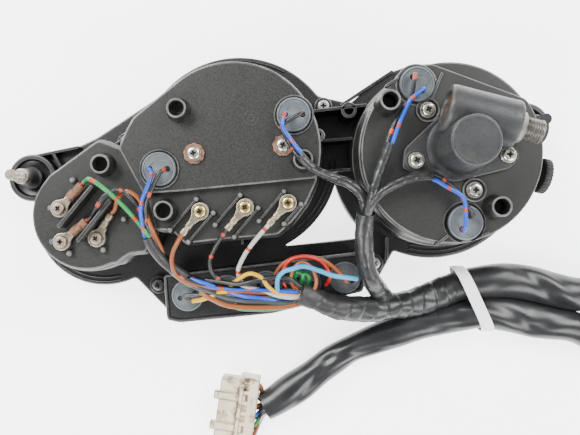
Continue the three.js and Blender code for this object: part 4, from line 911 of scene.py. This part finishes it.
# ---- Screws ----
def cross(x, y, turn, half=1.6, arm=0.52):
    flat = [
        (half, -arm), (half, arm), (arm, arm), (arm, half), (-arm, half), (-arm, arm), (-half, arm), (-half, -arm),
        (-arm, -arm), (-arm, -half), (arm, -half), (arm, -arm),
    ]
    c, s = math.cos(turn), math.sin(turn)
    return softened([(x + c * u - s * v, y + s * u + c * v) for u, v in flat], 0.16, 2)


def add_screw(b, x, y, seat, turn, head=3.5, height=2.2, depth=9, plain=0, recess_paint=1):
    top = seat + height
    b.paint = plain
    b.turn([(0, seat - depth), (1.5, seat - depth), (1.5, seat + 0.1), (0, seat + 0.1)], (x, y, 0), pieces=16)
    loop = circle(x, y, head, 56)
    outer = b.outline(loop, [(0.25, seat), (0, seat + 0.25), (0, seat + 1.1), (0.14, top - 0.55, 0.6),
        (0.5, top - 0.24, 0.9), (1.0, top - 0.06, 0.6), (1.5, top, 0.4), (1.65, top)])
    b.sides(outer)
    slot_rings = b.outline(cross(x, y, turn, head - 1.95), [(0.1, top, 1), (0, top - 0.15), (-0.03, top - 0.7),
        (-0.06, top - 1.4)], -1)
    b.sides(slot_rings[:2])
    b.cap([outer[0]], up=False)
    b.cap([outer[-1], slot_rings[0]])
    b.paint = recess_paint
    b.sides(slot_rings[1:])
    b.cap([slot_rings[-1]])
    b.paint = plain


def add_washer(b, x, y, seat, r, thickness, hole=1.9):
    b.turn([(hole, 0), (r - 0.15, 0), (r, 0.2), (r, thickness - 0.2), (r - 0.2, thickness, 0.8), (hole, thickness)],
        (x, y, seat), pieces=48, closed=True)


DRIVE_SCREWS, PLATE_TOP = [(64, 29), (110.7, 31.8)], 66.3
for node, places, seat in (("frame_screw", FRAME_SCREWS, SPEEDO_DECK), ("drive_screw", DRIVE_SCREWS, PLATE_TOP)):
    for i, (x, y) in enumerate(places):
        b = Builder()
        add_washer(b, x, y, seat + 0.3, 4.2, 0.7)
        add_screw(b, x, y, seat + 1, 0.5 + i)
        b.made(f"{node}_{i + 1}_pan", [ZINC, RECESS], stands_for=f"{node}_{i + 1}", slot="plated_screw")
for i, (x, y) in enumerate(CASE_SCREWS):
    b = Builder()
    add_screw(b, x, y, LUG_TOP + 0.3, 0.4 + 0.6 * i)
    b.made(f"case_screw_{i + 1}_pan", [PALE_STEEL if i > 1 else BLACK_STEEL_AND_SHADE, RECESS],
        stands_for=f"case_screw_{i + 1}", slot="black_screw")
for i, (x, y) in enumerate(TACH_SCREWS):
    b = Builder()
    seat = TACH_DECK + 0.3
    b.paint = 2
    b.turn([(1.9, seat), (5.5, seat), (5.55, seat + 0.5), (5.35, seat + 0.95), (1.9, seat + 1)], (x, y, 0),
        pieces=72, shape=lambda a, r, d: 1 + (0.035 * np.sin(9 * a) + 0.02 * np.sin(23 * a)) * (r > 5), closed=True)
    b.paint = 0
    add_washer(b, x, y, seat + 1, 4, 0.5)
    add_screw(b, x, y, seat + 1.5, 0.2 + i, 3.4, 2)
    b.made(f"tach_screw_{i + 1}_pan", [ZINC, RECESS, FIBRE], stands_for=f"tach_screw_{i + 1}", slot="fibre_washer")


# ---- Ring terminals ----
def crimp(a, s, whole):
    seam = np.exp(-((np.mod(a - math.pi / 2 + math.pi, TAU) - math.pi) / 0.35) ** 2)
    waist = 1 - 0.22 * math.exp(-((s - 4.3) / 0.7) ** 2)
    return waist * (1.95 - 0.4 * seam) * (1 - 0.08 * np.cos(4 * a))


for i, (x, y, deck, angle) in enumerate(TERMINALS):
    b = Builder()
    c, s = math.cos(angle), math.sin(angle)
    seat = deck + 2.3
    neck = [
        (x + d * c - w * s, y + d * s + w * c) for d, w in ((2, 3.6), (5.4, 2.2), (8.4, 1.7), (8.4, -1.7),
        (5.4, -2.2), (2, -3.6))
    ]
    eye = softened(merged(circle(x, y, 4.7, 64), neck)[0], 0.5, 2)
    b.plate(eye, [(0.15, seat), (0, seat + 0.15), (0, seat + 0.75), (0.12, seat + 0.95, 0.9), (0.35, seat + 1, 0.5),
        (0.6, seat + 1)])
    b.tube([(x + d * c, y + d * s, seat + 1.9) for d in (7, 9.5, 12, 15)], crimp, 0.4, 24)
    if i in (3, 4):
        b.paint = 2
        b.tube([(x + d * c, y + d * s, seat + 1.9) for d in (8, 11, 14, 17.6)], lambda a, d, w: 2.5
            + 0.12 * np.cos(3 * a + d), 0.7, 20)
    b.paint = 1
    add_screw(b, x, y, seat + 1, 0.3 + 0.7 * i, 3.3, 2.1, plain=1, recess_paint=3)
    b.made(f"terminal_{i + 1}", [TIN, BRASS_HEAD if i < 3 else OLD_STEEL, FIBRE if i > 2 else TIN, RECESS],
        stands_for=f"ring_terminal_{i + 1}", slot="tinned_brass")


# ---- Studs, drive and spigot ----
def add_thread(b, origin, axis, r, pitch, start, stop, bore=None):
    """A screw thread: its crest winds round with the angle."""
    steps = int((stop - start) / (pitch / 8))
    path = [(r, start + (stop - start) * k / steps) for k in range(steps + 1)]

    def wind(a, d):
        tooth = np.abs(np.mod(d / pitch - a / TAU, 1) - 0.5) * 2
        fade = min(1, (stop - d) / pitch, (d - start) / pitch + 0.3)
        return 1 - 0.75 * pitch / r * tooth * max(0.0, fade) - (0.05 if stop - d < 0.3 else 0)

    first = [(bore, start)] if bore else [(0, start)]
    last = [(bore + 0.3, stop), (bore, stop - 0.4)] if bore else [(0, stop)]
    b.turn([*first, *path, *last], origin, axis, 72, lambda a, q, d: wind(a, d)
        if abs(q - r) < 1e-6 else np.ones(len(a)), bool(bore))


for side, (x, y) in EARS.items():
    b = Builder()
    b.turn([(0, 13.3), (3, 13.3), (3, 31.3), (4.1, 31.3), (4.3, 31.6), (4.3, 35.4), (4.05, 35.9, 1), (3.7, 36),
        (2.9, 36), (2.9, 36.2), (0, 36.2)], (x, y, 0))
    add_thread(b, (x, y, 0), (0, 0, 1), 3, 1, 36.1, 48.9)
    # The right stud takes the black steel instead of the stained steel: painted shade.
    b.made(f"stud_{side}", STUD_STEEL if side == "left" else BLACK_STEEL_AND_SHADE, stands_for=f"mounting_stud_{side}",
        slot="aged_steel", smooth=60)
    b = Builder()
    b.turn([(3.2, 0.3), (6.2, 0.3), (6.4, 0.8), (6.3, 1.6), (5.2, 2.2), (4.8, 3), (4.8, 10), (4.6, 10.8, 1),
        (4.2, 11), (3.2, 11)], (x, y, EAR_TOP), closed=True)
    b.made(f"sleeve_{side}", RUBBER, stands_for=f"stud_sleeve_{side}", slot="soft_rubber")

# Where the axis starts, and its direction.
DRIVE = (75.9, 53.4, 79), (math.cos(-0.2553), math.sin(-0.2553), 0)
drive = Builder()
plate = softened([(58, 35), (57, 25), (64, 21.5), (84, 18), (112, 25), (117, 31), (113, 38), (97, 55), (76, 52)],
    0.8, 5)
drive.plate(plate, edged(SPEEDO_DECK + 0.3, PLATE_TOP, 0.6))
for x, y in DRIVE_SCREWS:
    drive.plate(circle(x, y, 5.6, 56), edged(SPEEDO_DECK + 0.3, PLATE_TOP + 0.15, 0.5))
drive.turn([(2.3, PLATE_TOP - 2), (16.8, PLATE_TOP - 2), (16.8, PLATE_TOP - 0.2), (16.2, PLATE_TOP + 0.3),
    (14.9, PLATE_TOP + 1.2), (14, PLATE_TOP + 2.8), (13.5, PLATE_TOP + 5), (12.1, 94.8), (11.95, 96.2, 0.5),
    (11.5, 96.8, 0.6), (10.9, 97, 0.3), (10.3, 96.95), (9.8, 96.9), (8, 96.9), (0, 96.9), (0, 93.5), (10.1, 93.5),
    (10.1, PLATE_TOP + 2), (2.3, PLATE_TOP + 2)], (*SPINDLE, 0), pieces=96, closed=True)
drive.turn([(8.4, 0.6), (8.7, 0, 0.4), (10.3, -0.2, 0.8), (11.4, 0.1, 1), (11.9, 0.9, 0.5), (12.1, 2.4), (12.2, 30),
    (12.4, 33.4), (12.2, 34.4, 0.8), (11.5, 35, 0.8), (8.6, 35, 0.4), (8.4, 34.4)], *DRIVE, 96, closed=True)
drive.made("drive_case", DRIVE_PAINT, stands_for="drive_housing", slot="drive_casting")
Builder().turn([(0, 4), (8.2, 4), (8.2, 1.4), (7.7, 1.2), (6.9, 1.5), (6.3, 2.2), (2.2, 2.3), (1.9, 1.9),
    (0, 1.8)][::-1], *DRIVE).made("end_plug", RUST_RING, stands_for="drive_end_plug", slot="aged_brass")
spigot = Builder()
spigot.turn([(4, 29), (8.2, 29), (8.2, 35), (9.3, 35.2), (9.4, 35.6, 1), (8.3, 36.2), (7.4, 38.2, 0.6), (7, 38.5),
    (5.6, 38.5), (4, 38.5)], *DRIVE, closed=True)
add_thread(spigot, *DRIVE, 6, 1.25, 38.3, 48, 3.9)
spigot.made("threaded_spigot", SPIGOT_STEEL, stands_for="cable_spigot", slot="plated_steel", smooth=60)

KNOB = (143.8, 23.5, 28), (math.cos(-0.2), math.sin(-0.2), 0)
Builder().turn([(0, -2.75), (7.4, -2.75), (8.2, -2.4), (9.2, -2.2), (9.75, -1.6, 0.6), (9.75, 1.6, 0.6), (9.2, 2.2),
    (8, 2.5), (7.2, 2.75), (3, 2.75), (2.4, 2.2), (0, 2.1)], *KNOB, 168,
    lambda a, r, d: 1 + 0.028 * (r > 9) * np.clip(np.cos(28 * a) * 1.6, -1, 1)).made("knob", RUBBER,
    body="trip_reset", stands_for="reset_knob", slot="soft_rubber", smooth=50)

# ---- Wiring loom ----
TRUNK = route("""5.5 -41.3 43, 12.1 -44.2 42, 20 -47.5 40, 28.2 -49.9 37, 37.1 -51.1 32.5, 46.2 -52.3 27,
    55.4 -52.2 22, 66 -50.9 17, 77.2 -49 13, 87.2 -46.3 10.6, 95.5 -42.6 9.8""")
RISER = route("""57 -49.7 20, 51.5 -43.2 26, 45 -34.2 40, 41.3 -25.8 46, 39.5 -17.3 50, 39 -7.6 54, 39.2 -3 56,
    39.4 2.5 58.6""")
BRANCHES = [
    route("""39.6 1 58, 37.3 11.6 60, 31.1 17.3 60, 23.9 20.2 60, 15.6 23.1 63, 10 26.5 66,
        3.6 33.4 66, -0.5 40 62, -4.1 47.4 63, -3.1 53.4 63, 1 55.6 60.5"""),
    route("""39.4 1 58, 40.6 6.5 65, 42.2 14 68.5, 45.3 23.9 69, 49.2 34.9 70, 53.1 45.8 70.5,
        57.5 54.8 71, 62.7 62.5 71, 64.5 67 68.5"""),
    route("""39.5 1 58, 41.5 7.5 66.5, 46.4 12.9 69.5, 54.2 17.3 70, 62.5 20.2 71, 71.4 20.5 71.5,
        79 16 71, 85.3 11.8 70, 88.7 5.3 69.5, 89.4 -1.6 68.5"""),
]
LEFT_PAIR = route("""-69.2 22 62, -72.4 14.8 62, -76.1 6.6 59, -76.5 -2.4 55, -75.3 -12.1 50, -70.3 -21 45,
    -64.1 -27.7 41, -55.9 -33.7 40, -46.6 -37 41, -30.1 -38.5 42, -10.9 -39.5 43, 5.5 -41.3 42""")
def lead_table(text):
    """Rows of colour, number: route."""
    rows = [row.split(":") for row in text.split(";")]
    return [(head.split()[0], float(head.split()[1]), route(points)) for head, points in rows]


# The number is the terminal that the lead starts at.
LEADS = lead_table("""
    brown 0: -62.4 -18.4 50, -63.7 -25.1 46, -61.6 -31.9 43, -54.6 -36.3 42, -41 -39.1 42, -21.8 -41.1 43,
        -2.7 -40.6 43, 6.6 -40.7 42;
    black 1: -40 -16.3 51, -43.1 -24 47, -41.8 -30.7 44, -36 -35.1 43, -24.4 -36.1 44, -11.9 -33.3 45,
        -2.2 -34.5 44, 6.6 -40.2 42;
    white 2: -19.7 -13.6 51, -25.3 -21.8 47, -28.2 -29.6 44, -25.7 -36.3 42, -15.3 -40.2 42, -2.7 -43.4 42,
        7.1 -43 41;
    green 3: -108.9 19.4 51, -102.7 19.4 60, -94.4 13.5 60, -85 2.9 53.5, -75.8 -8.3 53, -71.5 -18.7 46,
        -66.7 -27.6 42, -54.8 -37 41, -32.9 -41.9 41, -10.9 -43.5 41.5, 6.6 -43 41;
    black 4: -105.7 0.6 51, -99.5 7.2 58.5, -95 12 60, -89.9 14.5 57, -82.5 8.7 54, -75.9 -2.4 54.5,
        -71.9 -14.2 49, -67.4 -24.2 44, -54.6 -34.7 42, -27.3 -39.6 42, 5.5 -41.9 41;
    brown 5: -93.4 4 51, -91.2 9.8 53, -86.2 13.8 55, -80.5 11 55, -76.9 5.1 54.5, -73.4 -4.5 54, -70 -14.8 48,
        -66.5 -24.2 43, -57.5 -33.7 41.5, -41.1 -40.3 41, -16.4 -43 41.5, 5.5 -43 41""")
# The number is the lead's radius.
LOOSE_LEADS = lead_table("""
    yellow 1.3: -53.8 -46.3 37, -49.5 -45.3 40, -42.5 -42.8 43, -36 -40.7 42.5, -27.5 -41.5 40, -15.4 -43.1 40,
        0 -43.6 41, 8.2 -43.4 42;
    yellow 1.2: -32.9 -37.5 41, -29.8 -34.8 45, -21.6 -30.1 48, -15.7 -32.1 48, -11.8 -37.2 46.5, -7.1 -41 44,
        0 -42.2 43, 8.7 -42.2 43;
    sky 1.3: -6 -42.9 42, -6.9 -37 46, -6.1 -31.8 49, -3.2 -28.8 50, 1.1 -27.5 50, 6.9 -26.1 50, 14.4 -28 50,
        22.9 -31 50, 30.1 -32.2 48, 36.4 -33.4 44;
    red 1.1: -1.1 -41 40, -3.8 -34.1 43, -3.2 -27.4 45, 1.1 -22.4 46, 9 -21.1 46, 16 -23.3 45, 20.2 -27.5 43,
        22 -32.7 40, 20 -37.5 36;
    brown 1.2: -6.6 -40.1 38, -8.2 -32.6 41, -4.4 -25.9 43, 2.2 -22 44, 9.8 -21.5 44, 17.4 -23.1 44, 22.9 -26.4 43,
        28 -31 41, 31.5 -35.7 38;
    brown 1.1: 3.8 -40.8 41, 0.5 -33.2 46, 2.1 -27.1 48, 6.4 -24.2 48.5, 11.3 -26.6 48, 14 -32.6 47, 13.5 -38.2 45,
        10.3 -41.6 44;
    brown 1.35: -48.8 -40.7 42, -45.7 -42.7 43.5, -42 -44.6 44, -35 -47.6 44, -23.9 -48.9 44, -12 -48.9 44,
        0 -48.2 43.5, 8.2 -46 43;
    green 1.1: -33.4 -47.7 41, -27.4 -49.9 41.5, -18.6 -50.4 41.5, -9.9 -50.1 41.5, 0 -49.1 41, 8 -46.5 41;
    green 1.15: 3.3 -36.8 38, 2.7 -32.5 42, 4.4 -29.7 43.5, 6.5 -30.7 43.5, 7.1 -34.8 41, 6.1 -38.4 38;
    green 1.15: 7.2 -37.9 38, 6.5 -33.6 42.5, 8.1 -30.2 44, 10.3 -31.8 43.5, 10.4 -35.9 41, 8.8 -39 38;
    blue 1.2: -54.3 -33.7 41, -48.6 -35.2 42.5, -42.2 -37.4 42, -36.1 -40.2 41.5, -30 -42 43, -23.8 -43 45,
        -17.3 -43.6 45, -10.9 -44.8 44, -3.8 -46.7 42, 7.1 -45.6 42;
    black 1.25: -46 -34.3 41, -38 -34.9 44, -31.9 -35.6 46, -26.7 -35.9 47, -21.5 -34.7 47.5, -16.7 -33.6 47.5,
        -11.8 -32.6 48, -6.8 -32.1 47.5, 0 -33.1 47, 5.4 -37.1 45, 9.2 -40 43.5;
    slate 1.35: -55 -36.6 40, -51.4 -38.2 42, -44.1 -40.6 43, -37 -43.1 43.5, -30.4 -44.7 44, -23.9 -45.5 44.5,
        -15.2 -45.8 44.5, -7.6 -46.7 44, 0 -47.1 43, 7.6 -44.5 42.5;
    white 1.2: -28.4 -36.1 42, -23.9 -37.8 43.5, -16.9 -39.3 43.5, -12 -40.8 43.5, -7.1 -42.6 43.5, 0 -43.7 43.5,
        8.2 -43.3 43;
    slate 1.2: -52.3 -47.5 36, -58.6 -43.6 38, -50.7 -42.7 39, -41.8 -42.1 40, -29.6 -39.7 41, -15.3 -39.7 41,
        0 -39.6 42, 8.2 -40.6 43""")
COLOURS = list(LEAD)
loom_materials = [TAPE, WORN_TAPE, *LEAD.values()]


def taped(r0, r1, pitch=9.0, ridge=0.05, crumple=0.045, lumps=3):
    """Tape wound round a bundle: a step at the edge of each turn, over a lumpy core."""
    phase = rng.uniform(0, TAU, 4)

    def radius(a, s, whole):
        turn = np.mod(s / pitch + a / TAU, 1)
        step = np.where(turn < 0.9, turn / 0.9, (1 - turn) / 0.1)
        lump = (
            np.sin(lumps * a + s / 6.1 + phase[0]) + 0.7 * np.sin((lumps - 1) * a - s / 9.7 + phase[1])
            + 0.6 * np.sin(a + s / 3.9 + phase[2]) + 0.4 * np.sin(5 * a - s / 2.7 + phase[3])
        )
        return (r0 + (r1 - r0) * s / whole) * (1 + ridge * (step - 0.5) + crumple * lump)

    return radius


loom = Builder()
loom.tube(TRUNK, taped(5.9, 8.9, 8.5, 0.06, 0.04), 0.8, 56, bands=[(0, 26, 1)])
loom.tube(RISER, taped(5.6, 4.6, 8, 0.05, 0.035), 0.8, 40)
TAPED_UNTIL = [52, 44, 47]
HOLES = [
    ((1.9, 54), 0.0, 4.6, TACH_DECK), ((64.8, 68), -1.0, 4.2, SPEEDO_DECK), ((89.6, -2.6), 1.05, 4.0, SPEEDO_DECK),
]


def lead(colour, r, points, bands=False):
    loom.paint = 2 + COLOURS.index(colour)
    stripes = [(at, at + 2.2, 2 + COLOURS.index("band")) for at in np.arange(5 + 4 * (colour == "blue"), 200,
        15.0)] if bands else ()
    loom.tube(points, r, 0.9, 12, bands=stripes)
    loom.paint = 0


def beside(line, offset, twist=0.0):
    """A strand that runs beside a line, winding slowly round it."""
    u, v = frames(line)
    a = np.linspace(0, twist, len(line))[:, None]
    return line + offset * (u * np.cos(a) + v * np.sin(a))


for branch, until, ((hx, hy), turn, spread, deck) in zip(BRANCHES, TAPED_UNTIL, HOLES):
    line, far = spline(branch, 1.0)
    cut = int(np.searchsorted(far, until))
    loom.tube(line[: cut + 1 : 3], taped(2.75, 2.35, 6, 0.08, 0.05, 2), 0.6, 24)
    rest = line[cut - 2 : -9]
    for side, colour in ((1, "blue"), (-1, "black")):
        strand = beside(rest, 1.25 * side, 1.6)[::4]
        end = side if hx == 64.8 else -side
        x, y = hx + end * spread * math.cos(turn), hy + end * spread * math.sin(turn)
        lead(colour, 1.15, [*strand, (x, y, deck + 8), (x, y, deck + 4.5), (x, y, deck + 1.6)], bands=True)
line, far = spline(LEFT_PAIR, 1.0)
for side, colour in ((1, "blue"), (-1, "black")):
    strand = beside(line, 1.25 * side, 2.2)[6::5]
    x = -68.8 - 4.6 * side
    lead(colour, 1.15, [(x, 25.4, 55.6), (x, 25.2, 59.5), (x * 0.5 - 34.5, 23.4, 62.4), *strand], bands=True)
cut, stop = int(np.searchsorted(far, 36)), int(np.searchsorted(far, 72))
loom.paint = 1
loom.tube(line[cut:stop:3], taped(3.1, 3.3, 30, 0.02, 0.03, 2), 0.8, 24)
for colour, i, points in LEADS:
    x, y, deck, angle = TERMINALS[int(i)]
    start = [(x + d * math.cos(angle), y + d * math.sin(angle), deck + 4.2) for d in (12, 16.2)]
    lead(colour, 1.25, start + points, bands=i in (1, 2, 3, 4))
for colour, r, points in LOOSE_LEADS:
    lead(colour, r, points)
loom.made("loom", loom_materials, stands_for="wiring_loom", slot="loom_tape", smooth=60)

# ---- Lenses, dials and pointers, read from below ----
for name, g in (("speedo", SPEEDO), ("tach", TACH), ("temp", TEMP)):
    r = g["window"] + 2
    Builder().turn([(0, 3.6), (r - 2.6, 3.4), (r - 0.3, 3.3), (r, 3.6), (r, 8.7), (r - 0.3, 9), (r - 1.6, 9),
        (r - 1.8, 8.7), (r - 1.8, 5.6), (r - 2.4, 5.3), (0, 5.5)], (g["x"], g["y"], 0), pieces=128).made(name
        + "_window", LENS, stands_for=name + "_lens", slot="clear_lens")

STROKES = {
    "0": [(0, 0.6), (0.6, 0), (1.4, 0), (2, 0.6), (2, 3.4), (1.4, 4), (0.6, 4), (0, 3.4), (0, 0.6)],
    "1": [(0.4, 3.2), (1.2, 4), (1.2, 0)],
    "2": [(0, 3.4), (0.6, 4), (1.4, 4), (2, 3.4), (2, 2.6), (0, 0), (2, 0)],
    "3": [(0, 4), (2, 4), (1, 2.5), (2, 1.7), (2, 0.6), (1.4, 0), (0, 0.1)],
    "4": [(1.6, 0), (1.6, 4), (0, 1.2), (2, 1.2)],
    "5": [(2, 4), (0.2, 4), (0, 2.3), (1.4, 2.5), (2, 1.8), (2, 0.6), (1.4, 0), (0, 0.1)],
    "6": [(1.7, 4), (0.3, 2.4), (0, 0.8), (0.6, 0), (1.4, 0), (2, 0.8), (1.6, 2), (0.3, 2.2)],
    "7": [(0, 4), (2, 4), (0.7, 0)],
    "8": [(1, 2.1), (0.2, 3), (0.6, 4), (1.4, 4), (1.8, 3), (1, 2.1), (0, 1), (0.6, 0), (1.4, 0), (2, 1), (1, 2.1)],
    "9": [(0.3, 0), (1.7, 1.6), (2, 3.2), (1.4, 4), (0.6, 4), (0, 3.2), (0.4, 2), (1.7, 1.8)],
}
PRINT_LOW, PRINT_HIGH = 13.2, 13.34


def bar_mark(b, a, c, width):
    b.plate(stadium(a, c, width, 4), [(0, PRINT_LOW), (0, PRINT_HIGH)])


def number(b, text, x, y, size):
    unit = size / 4
    for k, digit in enumerate(text):
        shift = (k - (len(text) - 1) / 2) * 2.9 - 1
        path = [(x - (u + shift) * unit, y + (v - 2) * unit) for u, v in STROKES[digit]]
        for a, c in zip(path, path[1:]):
            bar_mark(b, a, c, 0.55)


def face(name, x, y, r, start, sweep_by, labels, between, red_from, size):
    b = Builder()
    steps = (len(labels) - 1) * between
    for k in range(steps + 1):
        t = start + sweep_by * k / steps
        long = k % between == 0
        b.paint = 1 if k >= red_from * between else 0
        inner = r - (5 if long else 2.8)
        bar_mark(b, (x + inner * math.cos(t), y + inner * math.sin(t)), (x + r * math.cos(t), y + r * math.sin(t)),
            0.9 if long else 0.45)
        if long and labels[k // between]:
            number(b, labels[k // between], x + (r - 10) * math.cos(t), y + (r - 10) * math.sin(t), size)
    b.made(name + "_print", [PRINT, RED_PRINT], slot="dial_black")


face("speedo", *SPINDLE, 41, -math.pi / 4, math.radians(255), [str(20 * k) for k in range(10)], 4, 99, 4.4)
face("tach", TACH["x"], TACH["y"], 42.5, -math.pi / 4, math.radians(240), [str(k) for k in range(13)], 2, 10, 5)
face("temp", TEMP["x"], TEMP["y"], 24, math.pi / 4, math.pi / 2, ["", "", "", ""], 3, 3, 3)


def pointer(name, node, body, x, y, angle, length):
    b = Builder()
    b.turn([(0, 8.0), (3.6, 8.0), (4.4, 8.3), (4.6, 8.9), (4.6, 11.5), (0, 11.5)], (x, y, 0), pieces=48)
    tail = length * 0.22
    blade = [(-tail, -1.9), (length - 1, -0.55), (length, 0), (length - 1, 0.55), (-tail, 1.9)]
    c, s = math.cos(angle), math.sin(angle)
    b.paint = 1
    b.plate(softened([(x + u * c - v * s, y + u * s + v * c) for u, v in blade], 0.5, 1),
        [(0.25, 9.05), (0, 9.3), (0, 9.85), (0.15, 10)])
    b.made(name, [RUBBER, NEEDLE], body=body, stands_for=node, slot="needle_orange")


pointer("speedo_hand", "speedo_needle", "speedo_pointer", *SPINDLE, -math.pi / 4, 36)
pointer("tach_hand", "tach_needle", "tach_pointer", TACH["x"], TACH["y"], -math.pi / 4, 36)
pointer("temp_hand", "temp_needle", "temp_pointer", TEMP["x"], TEMP["y"], math.pi / 4, 20)

# ---- CAD nodes that stay as they are ----
KEPT = {
    ALLOY: ["speedo_frame", "tach_movement", "temp_movement", "speed_cup"],
    MAGNET: ["drive_magnet"],
    SPIGOT_STEEL: ["drive_input_shaft", "reset_shaft"],
    DIAL: ["speedo_dial", "tach_dial", "temp_dial"],
    DRUM_WHITE: ["odometer_drums", "trip_drums"],
    LENS: ["indicator_lens"],
}
for material, names in KEPT.items():
    for name in names:
        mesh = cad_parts[name].data
        mesh.materials.clear()
        mesh.materials.append(material)

# ---- Floor and light ----
PAPER_GLOW, FLOOR_HALF, FLOOR_Z = 3.0, 2.0, -0.0002
floor_material = surface("floor_paper", (0.9, 0.9, 0.9), 0.8, vary=0.01, grain=300, bump=0.05)
fill(floor_material.node_tree.nodes["Principled BSDF"],
    {"Emission Color": (1, 1, 1, 1), "Emission Strength": PAPER_GLOW})
floor_mesh = bpy.data.meshes.new("floor")
side = FLOOR_HALF
floor_mesh.from_pydata([(-side, -side, FLOOR_Z), (side, -side, FLOOR_Z), (side, side, FLOOR_Z),
    (-side, side, FLOOR_Z)], [], [(0, 1, 2, 3)])
floor_mesh.materials.append(floor_material)
floor = bpy.data.objects.new("floor", floor_mesh)
bpy.context.scene.collection.objects.link(floor)

world = bpy.data.worlds.new("studio")
world.use_nodes = True
world.node_tree.nodes["Background"].inputs["Color"].default_value = (1, 1, 1, 1)
world.node_tree.nodes["Background"].inputs["Strength"].default_value = 0.45
bpy.context.scene.world = world
for name, at, size, power in (("soft_upper_left", (-0.75, 0.7, 1.0), 0.7, 34),
        ("soft_upper_right", (0.85, 0.65, 1.0), 0.7, 24), ("soft_lower_left", (-0.7, -0.85, 0.95), 0.7, 22),
        ("soft_lower_right", (0.85, -0.8, 0.95), 0.7, 20)):
    lamp = bpy.data.lights.new(name, "AREA")
    lamp.size, lamp.energy = size, power
    o = bpy.data.objects.new(name, lamp)
    bpy.context.scene.collection.objects.link(o)
    o.location = at
    o.rotation_euler = Vector(at).to_track_quat("Z", "Y").to_euler()
